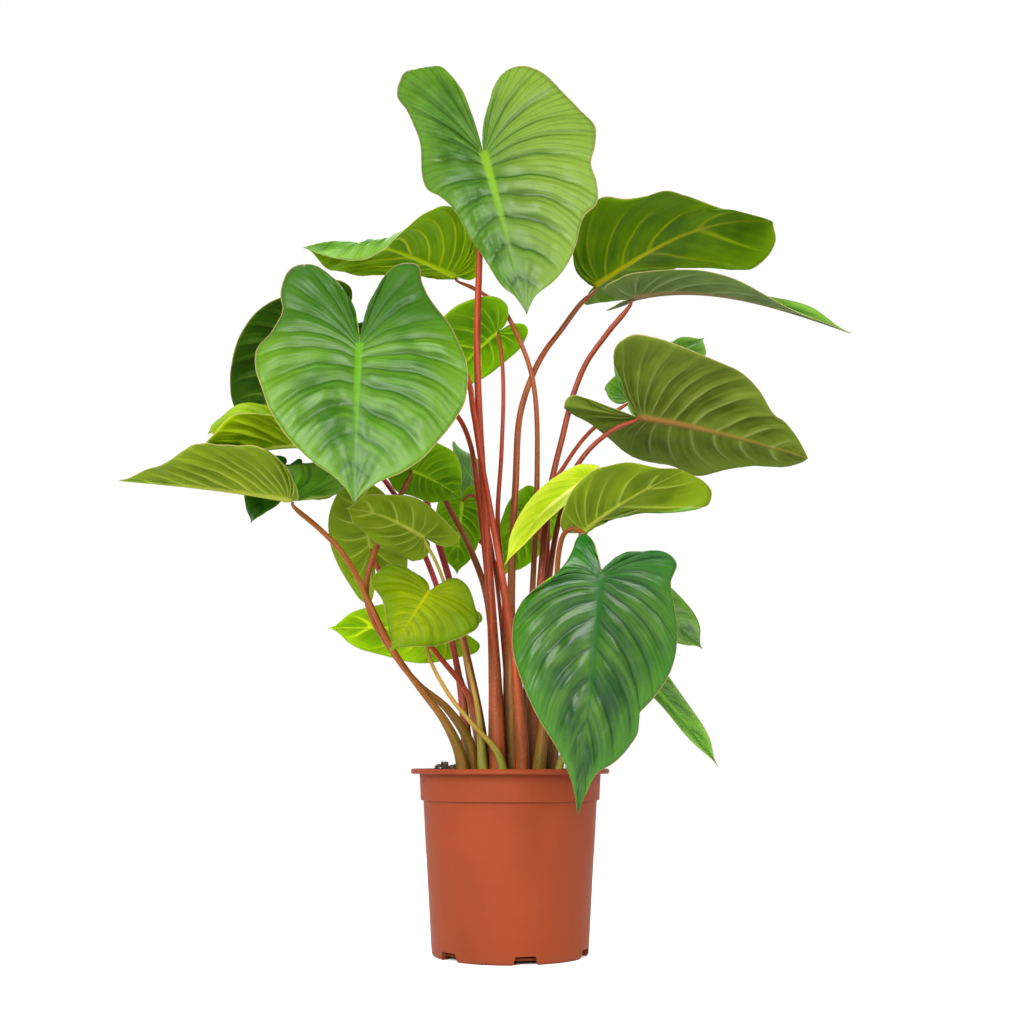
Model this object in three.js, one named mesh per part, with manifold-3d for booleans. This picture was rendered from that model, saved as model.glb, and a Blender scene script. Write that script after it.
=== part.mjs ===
// Potted foliage plant: broad heart-shaped leaves on long reddish petioles, standing in a nursery pot.
// Millimetres, +Z up. X runs to the viewer's right, Y away from the viewer, Z = 0 under the pot's foot.
// Leaves and petioles are placed from the pot's axis, and the whole plant is then centred on its box.
import * as THREE from "three";
import { mergeVertices } from "three/addons/utils/BufferGeometryUtils.js";
import Module from "manifold-3d";

const { Vector3 } = THREE;
const wasm = await Module();
wasm.setup();

// Driving dimensions
const CENTRE_SHIFT = [22, 1]; // from the pot's axis to the middle of the whole plant, in X and Y
const CLEARANCE = 0.35; // air kept between pieces that bear on each other
const POT_HEIGHT = 188.4;
const RIM_RADIUS = 105;
const RIM_THICKNESS = 5.2;
const BAND_TOP_RADIUS = 96;
const BAND_BOTTOM_RADIUS = 94.4;
const BAND_HEIGHT = 33; // rim top to the step under the band
const BODY_TOP_RADIUS = 91.6;
const BODY_BOTTOM_RADIUS = 82;
const FOOT_RADIUS = 79.5;
const FOOT_RING_WIDTH = 4;
const CORNER_HEIGHT = 12; // top of the round corner between foot and body
const EDGE_ROUNDING = 1; // on the lip
const WALL = 2.2;
const FLOOR_UNDERSIDE = 3.5;
const FLOOR_THICKNESS = 2.5;
const NOTCH_COUNT = 6;
const NOTCH_FIRST_ANGLE = 11; // degrees round from the front, to the viewer's right
const NOTCH_HEIGHT = 8.5;
const NOTCH_TOP_WIDTH = 20.5;
const NOTCH_BOTTOM_WIDTH = 26.5;
const POT_SIDES = 40;
const SOIL_LEVEL = 182;
const SOIL_SEED = 7;
const SOIL_LUMPS = 26;
const LUMP_HEIGHTS = [2, 6];
const LUMP_WIDTHS = [7, 16];
const SOIL_RINGS = 5; // facets of the surface, from the wall to the middle
const SOIL_EDGE = 6; // the stretch at the wall over which the lumps die away
const ROOT_DEPTH = 17; // how far each petiole stands in the soil
const BLADE_THICKNESS = 0.9;
const MIDRIB_HEIGHT = 1.3; // ridge along the middle of the underside
const GROOVE_DEPTH = 0.25; // furrow over the midrib on the upper face
const SMALL_BLADE = 140; // a midrib shorter than this takes the coarser facets
const LARGE_BLADE = 200; // and from this length the finest
const SMALL_ROWS = 9; // facets from the base round to the tip
const LARGE_ROWS = [11, 15];
const SMALL_COLUMNS = [0, 0.12, 0.55, 1]; // facets from the midrib to the margin, as shares of a vein
const LARGE_COLUMNS = [0, 0.09, 0.38, 0.7, 1];
const LOBE_SHARE = 0.22; // share of a half outline whose veins all leave close to the base
const LOBE_VEINS = 0.03; // the stretch of midrib that they leave from, in lengths
const VEIN_CROWDING = 1.55; // how much the other veins crowd toward the base
const VEIN_BOW = 0.15; // how far a vein bends toward the tip, in its own lengths
const OTHER_HALF_WAVE = 0.37; // the waves of the two halves are out of step by this share
const NECK = 2.4; // stretch under the blade that leaves it squarely, in petiole radii
const SHARPEST_TURN = 80; // degrees between that stretch and the petiole's first run
const NECK_SLIMNESS = 0.72; // the petiole's radius right under the blade, against its radius just below
const ROOT_FLARE = 1.6; // how late the petiole widens toward its root
const STALK_SIDES = 6;
const STALK_RING_SPACING = 36; // along a petiole
const LEAST_STALK_RINGS = 8;
const HOLE_MARGIN = 1.3; // how much wider than the petiole its hole in the soil is, all round
const HOLE_LENGTH = 33; // from above the soil's lumps down to the root

// Half outlines in leaf lengths: [out from the midrib, toward the tip], from the sinus round the lobe
const roundHalf = (width, lobe) => [
  [0.04 * width, -0.38 * lobe],
  [0.14 * width, -0.72 * lobe],
  [0.34 * width, -lobe],
  [0.6 * width, -0.92 * lobe],
  [0.8 * width, -0.5 * lobe],
  [0.95 * width, 0],
  [width, 0.2],
  [0.93 * width, 0.43],
  [0.73 * width, 0.64],
  [0.46 * width, 0.81],
  [0.19 * width, 0.9],
  [0.06 * width, 0.95],
  [0, 1],
];
const taperedHalf = (width, lobe) => [
  [0.04 * width, -0.38 * lobe],
  [0.14 * width, -0.72 * lobe],
  [0.34 * width, -lobe],
  [0.6 * width, -0.92 * lobe],
  [0.82 * width, -0.5 * lobe],
  [0.97 * width, 0],
  [width, 0.14],
  [0.88 * width, 0.32],
  [0.64 * width, 0.5],
  [0.4 * width, 0.67],
  [0.18 * width, 0.82],
  [0.06 * width, 0.92],
  [0, 1],
];
const bluntHalf = (width, lobe) => [
  [0.04 * width, -0.38 * lobe],
  [0.14 * width, -0.72 * lobe],
  [0.34 * width, -lobe],
  [0.6 * width, -0.92 * lobe],
  [0.8 * width, -0.5 * lobe],
  [0.95 * width, 0],
  [width, 0.22],
  [0.99 * width, 0.45],
  [0.88 * width, 0.66],
  [0.65 * width, 0.82],
  [0.35 * width, 0.92],
  [0.1 * width, 0.97],
  [0, 1],
];

// Outlines of the leaves that face the viewer or show their whole underside
const CROWN_LEFT = [
  [0, -0.16],
  [0.006, -0.32],
  [0.02, -0.48],
  [0.07, -0.66],
  [0.15, -0.78],
  [0.24, -0.82],
  [0.33, -0.76],
  [0.38, -0.64],
  [0.35, -0.52],
  [0.33, -0.4],
  [0.32, -0.25],
  [0.35, -0.08],
  [0.35, 0.06],
  [0.29, 0.16],
  [0.23, 0.29],
  [0.19, 0.46],
  [0.14, 0.62],
  [0.09, 0.8],
  [0.04, 0.88],
  [0.01, 0.96],
  [0, 1],
];
const CROWN_RIGHT = [
  [0.03, -0.15],
  [0.08, -0.28],
  [0.18, -0.46],
  [0.28, -0.52],
  [0.38, -0.5],
  [0.47, -0.38],
  [0.58, -0.14],
  [0.61, -0.03],
  [0.57, 0.11],
  [0.52, 0.22],
  [0.52, 0.34],
  [0.49, 0.46],
  [0.4, 0.53],
  [0.32, 0.69],
  [0.25, 0.79],
  [0.17, 0.86],
  [0.07, 0.91],
  [0.025, 0.96],
  [0, 1],
];
const FRONT_LEFT = [
  [0.01, -0.08],
  [0.03, -0.23],
  [0.09, -0.38],
  [0.19, -0.52],
  [0.29, -0.6],
  [0.38, -0.6],
  [0.45, -0.52],
  [0.47, -0.38],
  [0.45, -0.25],
  [0.5, -0.11],
  [0.57, 0.03],
  [0.56, 0.18],
  [0.51, 0.33],
  [0.46, 0.46],
  [0.36, 0.62],
  [0.22, 0.77],
  [0.1, 0.86],
  [0.03, 0.94],
  [0, 1],
];
const FRONT_RIGHT = [
  [0.01, -0.13],
  [0.05, -0.3],
  [0.1, -0.44],
  [0.17, -0.56],
  [0.25, -0.6],
  [0.32, -0.58],
  [0.34, -0.45],
  [0.41, -0.28],
  [0.49, -0.13],
  [0.56, 0.05],
  [0.6, 0.2],
  [0.59, 0.38],
  [0.54, 0.51],
  [0.46, 0.64],
  [0.37, 0.76],
  [0.26, 0.84],
  [0.13, 0.89],
  [0.04, 0.95],
  [0, 1],
];
const LOW_LEFT = [
  [0.018, -0.06],
  [0.038, -0.12],
  [0.062, -0.17],
  [0.09, -0.19],
  [0.115, -0.15],
  [0.13, -0.08],
  [0.155, -0.02],
  [0.2, 0.04],
  [0.28, 0.1],
  [0.34, 0.18],
  [0.355, 0.28],
  [0.33, 0.4],
  [0.27, 0.52],
  [0.2, 0.63],
  [0.12, 0.73],
  [0.05, 0.84],
  [0.02, 0.92],
  [0, 1],
];
const LOW_RIGHT = [
  [0.03, -0.03],
  [0.1, -0.07],
  [0.2, -0.11],
  [0.28, -0.11],
  [0.33, -0.07],
  [0.31, 0.01],
  [0.34, 0.12],
  [0.36, 0.25],
  [0.34, 0.38],
  [0.28, 0.49],
  [0.21, 0.58],
  [0.22, 0.64],
  [0.19, 0.7],
  [0.13, 0.77],
  [0.06, 0.82],
  [0.03, 0.89],
  [0.01, 0.95],
  [0, 1],
];
const SPOTTED_LEFT = [
  [0.1, -0.1],
  [0.22, -0.16],
  [0.36, -0.17],
  [0.52, -0.14],
  [0.66, -0.05],
  [0.73, 0.12],
  [0.7, 0.28],
  [0.55, 0.37],
  [0.38, 0.5],
  [0.24, 0.66],
  [0.12, 0.78],
  [0.04, 0.87],
  [0, 1],
];
const SPOTTED_RIGHT = [
  [0.03, -0.12],
  [0.1, -0.3],
  [0.18, -0.37],
  [0.32, -0.37],
  [0.46, -0.31],
  [0.62, -0.18],
  [0.74, -0.06],
  [0.77, 0.1],
  [0.7, 0.27],
  [0.57, 0.45],
  [0.41, 0.63],
  [0.2, 0.78],
  [0.05, 0.89],
  [0, 1],
];
const HIGH_RIGHT_NEAR = [
  [0.05, -0.03],
  [0.14, -0.06],
  [0.25, -0.06],
  [0.35, -0.03],
  [0.42, 0.03],
  [0.46, 0.12],
  [0.47, 0.19],
  [0.42, 0.27],
  [0.4, 0.36],
  [0.39, 0.46],
  [0.3, 0.55],
  [0.22, 0.64],
  [0.17, 0.74],
  [0.18, 0.83],
  [0.12, 0.93],
  [0.04, 0.98],
  [0, 1],
];
const HIGH_RIGHT_FAR = [
  [0.06, -0.05],
  [0.16, -0.05],
  [0.27, 0],
  [0.36, 0.12],
  [0.39, 0.25],
  [0.34, 0.37],
  [0.28, 0.48],
  [0.27, 0.6],
  [0.27, 0.72],
  [0.26, 0.82],
  [0.25, 0.92],
  [0.19, 1],
  [0.1, 1.03],
  [0.03, 1.01],
  [0, 1],
];
const HIGH_LEFT_FAR = [
  [0.04, -0.03],
  [0.09, 0.03],
  [0.14, 0.12],
  [0.22, 0.22],
  [0.28, 0.34],
  [0.29, 0.48],
  [0.27, 0.62],
  [0.22, 0.75],
  [0.13, 0.87],
  [0.04, 0.95],
  [0, 1],
];
const HIGH_LEFT_NEAR = [
  [0.05, -0.09],
  [0.14, -0.08],
  [0.26, -0.01],
  [0.38, 0.09],
  [0.49, 0.24],
  [0.53, 0.38],
  [0.49, 0.5],
  [0.4, 0.6],
  [0.3, 0.69],
  [0.2, 0.79],
  [0.11, 0.88],
  [0.04, 0.95],
  [0, 1],
];
const BROAD_RIGHT_NEAR = [
  [0.05, -0.05],
  [0.12, -0.11],
  [0.22, -0.18],
  [0.31, -0.25],
  [0.4, -0.26],
  [0.46, -0.2],
  [0.47, -0.1],
  [0.46, 0.03],
  [0.44, 0.17],
  [0.41, 0.31],
  [0.37, 0.46],
  [0.3, 0.59],
  [0.2, 0.71],
  [0.17, 0.79],
  [0.11, 0.88],
  [0.04, 0.96],
  [0, 1],
];
const BROAD_RIGHT_FAR = [
  [-0.02, -0.08],
  [-0.042, -0.19],
  [-0.06, -0.3],
  [-0.06, -0.39],
  [0, -0.42],
  [0.05, -0.36],
  [0.1, -0.23],
  [0.19, -0.08],
  [0.28, 0.05],
  [0.33, 0.18],
  [0.32, 0.33],
  [0.34, 0.49],
  [0.26, 0.61],
  [0.18, 0.76],
  [0.13, 0.9],
  [0.05, 0.98],
  [0, 1],
];
const OLIVE_NEAR = [
  [0.06, -0.09],
  [0.15, -0.17],
  [0.25, -0.16],
  [0.31, -0.07],
  [0.35, 0.03],
  [0.39, 0.14],
  [0.43, 0.24],
  [0.4, 0.35],
  [0.32, 0.5],
  [0.21, 0.68],
  [0.12, 0.83],
  [0.05, 0.94],
  [0, 1],
];
const OLIVE_FAR = [
  [0.08, -0.06],
  [0.14, 0.02],
  [0.13, 0.13],
  [0.12, 0.28],
  [0.13, 0.44],
  [0.17, 0.59],
  [0.21, 0.74],
  [0.25, 0.89],
  [0.29, 1.01],
  [0.31, 1.1],
  [0.24, 1.17],
  [0.14, 1.13],
  [0.05, 1.05],
  [0, 1],
];

// Each leaf: where its petiole joins (base) and its tip, both from the pot's axis, the way its upper face
// looks (degrees round from the front, degrees up), and the two half outlines. Seen from above with the tip
// ahead, the first half is the right one. arch lifts the midrib at one and two thirds, in chords. fold turns
// each half up at the midrib, foldTip the same near the tip, curl bends it on toward the margin, lift raises
// the lobes, twist turns the blade along its length (degrees), wave is the margin's [height, waves, start].
// stem lists the petiole's run from just under the leaf down to its root, which has no height of its own,
// and radii its radius at the top and at the root.
const LEAVES = {
  crown: {
    base: [-31, -30, 881],
    tip: [18, -70, 670],
    faces: [5, -8],
    halves: [CROWN_LEFT, CROWN_RIGHT],
    arch: [0.03, 0.05],
    fold: [-20, 5],
    curl: [-8, -12],
    lift: [-4, -4],
    wave: [3, 3, 0.1],
    stem: [
      [-35, -12, 764],
      [-37, -14, 650],
      [-33, -17, 546],
      [-22, -25, 389],
      [-15, -28, 260],
      [-12, -28],
    ],
    radii: [3.6, 5.4],
  },
  front_left: {
    base: [-151, -160, 609],
    tip: [-147, -205, 435],
    faces: [0, 10],
    halves: [FRONT_LEFT, FRONT_RIGHT],
    arch: [0.05, 0.08],
    fold: [6, 6],
    curl: [-14, -14],
    lift: [-4, -4],
    wave: [3, 3, 0.3],
    stem: [
      [-129, -120, 590],
      [-96, -80, 583],
      [-59, -40, 567],
      [-44, -10, 540],
      [-35, 8, 482],
      [-27, 8, 414],
      [-20, 4, 325],
      [-15, -6],
    ],
    radii: [2.6, 4.4],
  },
  high_left: {
    base: [-66, 90, 775],
    tip: [-238, 0, 776],
    faces: [160, 80],
    halves: [HIGH_LEFT_FAR, HIGH_LEFT_NEAR],
    arch: [0.1, 0.2],
    fold: [12, 24],
    foldTip: [-55, -110],
    curl: [-8, -8],
    wave: [3, 3, 0.2],
    stem: [
      [-44, 78, 756],
      [-10, 38, 717],
      [7, 21, 680],
      [22, 20, 640],
      [29, 18, 598],
      [30, 18, 500],
      [22, 13, 330],
      [15, 8],
    ],
    radii: [2.4, 4],
  },
  middle_back: {
    base: [-14, 40, 688],
    tip: [-84, 80, 627],
    faces: [-150, 20],
    halves: [roundHalf(0.34, 0.3), roundHalf(0.66, 0.35)],
    arch: [0.1, 0.1],
    fold: [0, 0],
    curl: [-20, -20],
    wave: [3, 2, 0.2],
    stem: [
      [-10, 43, 660],
      [-8, 38, 614],
      [-10, 29, 540],
      [-14, 22, 459],
      [-7, 18, 380],
      [-1, 12],
    ],
    radii: [2.2, 4],
  },
  high_right: {
    base: [101, 80, 759],
    tip: [318, 70, 839],
    faces: [180, 80],
    halves: [HIGH_RIGHT_NEAR, HIGH_RIGHT_FAR],
    arch: [0.08, 0.2],
    fold: [24, 15],
    foldTip: [-30, -50],
    curl: [-12, -12],
    wave: [4, 3, 0.2],
    stem: [
      [84, 68, 733],
      [60, 52, 695],
      [39, 42, 663],
      [24, 36, 630],
      [11, 30, 584],
      [6, 14, 500],
      [2, -4, 412],
      [1, -11, 300],
      [4, -12],
    ],
    radii: [3.2, 5],
  },
  far_right: {
    base: [136, -10, 710],
    tip: [384, -10, 670],
    faces: [180, 85],
    halves: [roundHalf(0.18, 0.12), roundHalf(0.16, 0.1)],
    arch: [0.15, 0.07],
    fold: [24, 20],
    curl: [-10, -10],
    lift: [10, -10],
    twist: 50,
    wave: [3, 2, 0.2],
    stem: [
      [111, 0, 674],
      [87, 6, 641],
      [72, 8, 605],
      [58, 6, 551],
      [44, 1, 490],
      [35, -6, 412],
      [27, -11, 300],
      [22, -12],
    ],
    radii: [3.2, 4.6],
  },
  broad_right: {
    base: [144, 20, 580],
    tip: [348, 70, 544],
    faces: [180, 46],
    halves: [BROAD_RIGHT_NEAR, BROAD_RIGHT_FAR],
    arch: [0.06, 0.05],
    fold: [6, 18],
    curl: [-10, -10],
    wave: [3, 3, 0.2],
    stem: [
      [120, 20, 567],
      [94, 25, 548],
      [74, 28, 522],
      [62, 28, 488],
      [49, 24, 435],
      [39, 19, 350],
      [31, 14],
    ],
    radii: [2.8, 4.4],
  },
  right_back: {
    base: [141, 60, 613],
    tip: [240, 130, 711],
    faces: [0, 40],
    halves: [roundHalf(0.3, 0.12), roundHalf(0.24, 0.08)],
    arch: [0.1, 0.1],
    fold: [5, 5],
    curl: [-10, -10],
    wave: [3, 3, 0.2],
    stem: [
      [114, 52, 590],
      [86, 46, 563],
      [62, 41, 528],
      [47, 36, 500],
      [41, 36, 410],
      [34, 34, 280],
      [28, 32],
    ],
    radii: [2.4, 4],
  },
  olive_right: {
    base: [77, -40, 436],
    tip: [193, 0, 513],
    faces: [180, 60],
    halves: [OLIVE_NEAR, OLIVE_FAR],
    arch: [0.06, 0.05],
    fold: [24, 16],
    foldTip: [5, -35],
    curl: [-12, -12],
    wave: [3, 3, 0.2],
    stem: [
      [73, -36, 423],
      [62, -33, 400],
      [51, -28, 344],
      [45, -24, 260],
      [42, -22],
    ],
    radii: [2.8, 4],
  },
  young: {
    base: [94, 10, 509],
    tip: [-6, -50, 399],
    faces: [-15, 45],
    halves: [roundHalf(0.16, 0.12), roundHalf(0.16, 0.12)],
    arch: [0.1, 0.16],
    fold: [10, 10],
    curl: [20, 20],
    wave: [0, 3, 0.2],
    stem: [
      [87, 20, 484],
      [76, 24, 430],
      [62, 26, 350],
      [50, 26, 240],
      [45, 26],
    ],
    radii: [2.2, 3.6],
  },
  low_front: {
    base: [89, -150, 379],
    tip: [65, -132, 144],
    faces: [0, 5],
    halves: [LOW_LEFT, LOW_RIGHT],
    arch: [0.04, 0.03],
    fold: [-8, -8],
    curl: [-16, -16],
    lift: [-30, 5],
    wave: [3, 3, 0.3],
    stem: [
      [82, -130, 401],
      [75, -112, 421],
      [65, -92, 431],
      [56, -76, 428],
      [51, -63, 410],
      [47, -52, 341],
      [37, -48, 258],
      [28, -44],
    ],
    radii: [2.6, 4.2],
  },
  low_right: {
    base: [140, -20, 371],
    tip: [205, -20, 314],
    faces: [20, 30],
    halves: [roundHalf(0.35, 0.3), roundHalf(0.45, 0.3)],
    arch: [0.05, 0.05],
    fold: [5, 5],
    curl: [-10, -10],
    wave: [2, 2, 0.2],
    stem: [
      [124, -8, 324],
      [97, 0, 271],
      [75, 6, 218],
      [66, 8],
    ],
    radii: [2, 3],
  },
  slender_right: {
    base: [126, -60, 295],
    tip: [212, -60, 191],
    faces: [10, 35],
    halves: [roundHalf(0.12, 0.15), roundHalf(0.14, 0.15)],
    arch: [0.05, 0.05],
    fold: [15, 15],
    curl: [10, 10],
    wave: [2, 2, 0.2],
    stem: [
      [109, -50, 269],
      [83, -44, 238],
      [57, -40, 208],
      [47, -38],
    ],
    radii: [2, 3],
  },
  left_wing: {
    base: [-223, -100, 459],
    tip: [-428, -20, 498],
    faces: [180, 88],
    halves: [taperedHalf(0.42, 0.14), taperedHalf(0.4, 0.08)],
    arch: [0.02, 0.01],
    fold: [38, 26],
    curl: [-5, -5],
    wave: [3, 3, 0.2],
    stem: [
      [-196, -88, 431],
      [-176, -80, 411],
      [-158, -72, 383],
      [-146, -68, 358],
      [-121, -58, 309],
      [-95, -50, 272],
      [-68, -43, 237],
      [-52, -40, 203],
      [-47, -40],
    ],
    radii: [2.6, 4],
  },
  left_dark: {
    base: [-253, 0, 514],
    tip: [-282, -20, 450],
    faces: [0, 30],
    halves: [roundHalf(0.4, 0.3), roundHalf(0.3, 0.3)],
    arch: [0.1, 0.1],
    fold: [0, 0],
    curl: [-5, -5],
    wave: [3, 3, 0.2],
    stem: [
      [-191, 16, 525],
      [-124, 33, 523],
      [-85, 37, 503],
      [-66, 38, 472],
      [-42, 38, 424],
      [-27, 38, 380],
      [-18, 38, 300],
      [-11, 34],
    ],
    radii: [3, 4.4],
  },
  left_upper_wing: {
    base: [-216, -70, 525],
    tip: [-383, 0, 509],
    faces: [180, 88],
    halves: [roundHalf(0.29, 0.3), taperedHalf(0.36, 0.25)],
    arch: [0.06, 0.03],
    fold: [36, 20],
    curl: [5, -5],
    wave: [4, 3, 0.2],
    stem: [
      [-182, -56, 521],
      [-151, -44, 509],
      [-128, -31, 484],
      [-100, -18, 432],
      [-77, -8, 375],
      [-60, 2, 310],
      [-50, 6, 250],
      [-43, 8],
    ],
    radii: [2.8, 4.2],
  },
  left_bright: {
    base: [-246, 42, 579],
    tip: [-341, 12, 559],
    faces: [0, 45],
    halves: [bluntHalf(0.35, 0.3), bluntHalf(0.3, 0.3)],
    arch: [0.1, 0.1],
    fold: [10, 10],
    curl: [-5, -5],
    wave: [3, 3, 0.2],
    stem: [
      [-225, 36, 556],
      [-190, 40, 560],
      [-143, 34, 551],
      [-105, 21, 511],
      [-85, 15, 450],
      [-65, 16, 385],
      [-48, 20, 310],
      [-34, 22, 235],
      [-27, 22],
    ],
    radii: [3.2, 4.6],
  },
  left_back: {
    base: [-208, 25, 675],
    tip: [-322, 90, 578],
    faces: [-160, 30],
    halves: [roundHalf(0.5, 0.42), roundHalf(0.5, 0.42)],
    arch: [0.1, 0.1],
    fold: [0, 0],
    curl: [-10, -10],
    wave: [3, 3, 0.2],
    stem: [
      [-160, 0, 648],
      [-89, -26, 634],
      [-50, -38, 614],
      [-40, -35, 570],
      [-32, -35, 520],
      [-19, -40, 448],
      [-8, -44, 387],
      [4, -43, 310],
      [12, -40, 218],
      [13, -40],
    ],
    radii: [2.8, 4.4],
  },
  hanging_left: {
    base: [-150, -20, 421],
    tip: [-170, -60, 492],
    faces: [180, 35],
    halves: [roundHalf(0.5, 0.65), roundHalf(0.5, 0.65)],
    arch: [0.08, 0.15],
    fold: [5, 5],
    curl: [-15, -20],
    wave: [3, 3, 0.2],
    stem: [
      [-135, -14, 383],
      [-110, -14, 347],
      [-75, -13, 305],
      [-47, -12, 269],
      [-32, -13, 225],
      [-25, -14],
    ],
    radii: [2.4, 4],
  },
  cupped_left: {
    base: [-90, -60, 427],
    tip: [-167, -110, 449],
    faces: [180, 35],
    halves: [roundHalf(0.34, 0.12), roundHalf(0.34, 0.32)],
    arch: [0.18, 0.2],
    fold: [10, 10],
    curl: [-15, -20],
    wave: [3, 3, 0.2],
    stem: [
      [-77, -48, 400],
      [-64, -40, 364],
      [-49, -34, 311],
      [-34, -34, 250],
      [-27, -34],
    ],
    radii: [1.8, 3.4],
  },
  spotted: {
    base: [-83, -80, 368],
    tip: [-122, -100, 302],
    faces: [10, 15],
    halves: [SPOTTED_LEFT, SPOTTED_RIGHT],
    arch: [0.08, 0.12],
    fold: [-5, 0],
    curl: [-10, -10],
    wave: [3, 3, 0.2],
    stem: [
      [-86, -66, 311],
      [-66, -58, 268],
      [-40, -53, 235],
      [-12, -48, 203],
      [-4, -46],
    ],
    radii: [1.8, 3],
  },
  low_left: {
    base: [-73, 60, 342],
    tip: [-202, 30, 341],
    faces: [180, 30],
    halves: [roundHalf(0.3, 0.3), roundHalf(0.3, 0.3)],
    arch: [0.04, 0.04],
    fold: [0, 0],
    curl: [-15, -20],
    wave: [3, 3, 0.2],
    stem: [
      [-62, 52, 307],
      [-47, 42, 263],
      [-37, 36, 219],
      [-33, 34],
    ],
    radii: [2, 3.6],
  },
  back_high: {
    base: [-55, 150, 548],
    tip: [-26, 200, 495],
    faces: [60, 20],
    halves: [roundHalf(0.6, 0.4), roundHalf(0.6, 0.4)],
    arch: [0.1, 0.1],
    fold: [0, 0],
    curl: [-10, -10],
    wave: [3, 3, 0.2],
    stem: [
      [-64, 158, 512],
      [-50, 156, 476],
      [-24, 126, 440],
      [-8, 92, 385],
      [-1, 64, 290],
      [4, 52],
    ],
    radii: [2.4, 4],
  },
  centre_left: {
    base: [-108, -30, 507],
    tip: [-53, -10, 480],
    faces: [180, 45],
    halves: [roundHalf(0.7, 0.3), roundHalf(0.5, 0.3)],
    arch: [0.1, 0.1],
    fold: [5, 5],
    curl: [-10, -10],
    wave: [3, 3, 0.2],
    stem: [
      [-119, -52, 470],
      [-139, -49, 425],
      [-151, -54, 380],
      [-147, -52, 350],
      [-122, -40, 307],
      [-97, -32, 276],
      [-66, -25, 250],
      [-43, -22, 214],
      [-39, -22],
    ],
    radii: [2.8, 4],
  },
  back_low: {
    base: [-57, 100, 500],
    tip: [-64, 130, 415],
    faces: [190, -20],
    halves: [roundHalf(0.33, 0.25), roundHalf(0.33, 0.25)],
    arch: [0.1, 0.1],
    fold: [0, 0],
    curl: [-10, -10],
    wave: [3, 3, 0.2],
    stem: [
      [-47, 84, 503],
      [-35, 70, 491],
      [-24, 57, 450],
      [-14, 49, 385],
      [-3, 40, 270],
      [5, 32],
    ],
    radii: [1.8, 3.4],
  },
  back_centre: {
    base: [31, 130, 496],
    tip: [-9, 170, 419],
    faces: [190, -20],
    halves: [roundHalf(0.35, 0.25), roundHalf(0.35, 0.25)],
    arch: [0.1, 0.1],
    fold: [0, 0],
    curl: [-10, -10],
    wave: [3, 3, 0.2],
    stem: [
      [36, 112, 466],
      [38, 90, 415],
      [33, 66, 320],
      [27, 55, 230],
      [24, 52],
    ],
    radii: [2.4, 4],
  },
};

const radians = (degrees) => (degrees * Math.PI) / 180;
const clamp01 = (x) => Math.min(1, Math.max(0, x));
const mix = (a, b, t) => a + (b - a) * t;

// The direction that a face looks in, from degrees round from the front and degrees up
function facing([round, up]) {
  const a = radians(round);
  const e = radians(up);
  return new Vector3(Math.sin(a) * Math.cos(e), -Math.cos(a) * Math.cos(e), Math.sin(e));
}

// A closed solid from vertices and triangles, checked for facing out
function solidFrom(vertices, triangles) {
  const vertProperties = new Float32Array(vertices.flatMap((v) => [v.x, v.y, v.z]));
  const triVerts = new Uint32Array(triangles.flat());
  const solid = new wasm.Manifold(new wasm.Mesh({ numProp: 3, vertProperties, triVerts }));
  if (solid.volume() > 0) return solid;
  const turned = new Uint32Array(triangles.map(([a, b, c]) => [a, c, b]).flat());
  return new wasm.Manifold(new wasm.Mesh({ numProp: 3, vertProperties, triVerts: turned }));
}

function geometryFrom(solid) {
  const mesh = solid.getMesh();
  const stride = mesh.numProp;
  const positions = new Float32Array(mesh.numVert * 3);
  for (let i = 0; i < mesh.numVert; i++) {
    positions.set(mesh.vertProperties.subarray(i * stride, i * stride + 3), i * 3);
  }
  const geometry = new THREE.BufferGeometry();
  geometry.setAttribute("position", new THREE.BufferAttribute(positions, 3));
  geometry.setIndex(new THREE.BufferAttribute(mesh.triVerts, 1));
  return geometry;
}

// A half outline as a smooth curve from the base, read by its share of the arc length
function outlineCurve(half, length) {
  const points = [[0, 0], ...half].map(([x, y]) => [x * length, y * length]);
  const last = points.length - 1;
  const smooth = (s) => {
    const i = Math.min(Math.floor(s * last), last - 1);
    const f = s * last - i;
    const b = points[i];
    const c = points[i + 1];
    const a = i > 0 ? points[i - 1] : [2 * b[0] - c[0], 2 * b[1] - c[1]];
    const d = i + 2 <= last ? points[i + 2] : [2 * c[0] - b[0], 2 * c[1] - b[1]];
    return [0, 1].map(
      (k) =>
        0.5 *
        (2 * b[k] +
          (c[k] - a[k]) * f +
          (2 * a[k] - 5 * b[k] + 4 * c[k] - d[k]) * f * f +
          (3 * b[k] - a[k] - 3 * c[k] + d[k]) * f * f * f),
    );
  };
  const steps = 240;
  const fine = Array.from({ length: steps + 1 }, (_, i) => smooth(i / steps));
  const along = [0];
  for (let i = 1; i <= steps; i++) {
    along.push(along[i - 1] + Math.hypot(fine[i][0] - fine[i - 1][0], fine[i][1] - fine[i - 1][1]));
  }
  const at = (share) => {
    const target = share * along[steps];
    let i = 1;
    while (i < steps && along[i] < target) i++;
    const f = (target - along[i - 1]) / (along[i] - along[i - 1]);
    return [mix(fine[i - 1][0], fine[i][0], f), mix(fine[i - 1][1], fine[i][1], f)];
  };
  const width = Math.max(...points.map((p) => p[0]));
  const lobe = -Math.min(...points.map((p) => p[1]));
  return { at, width, lobe };
}

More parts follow.
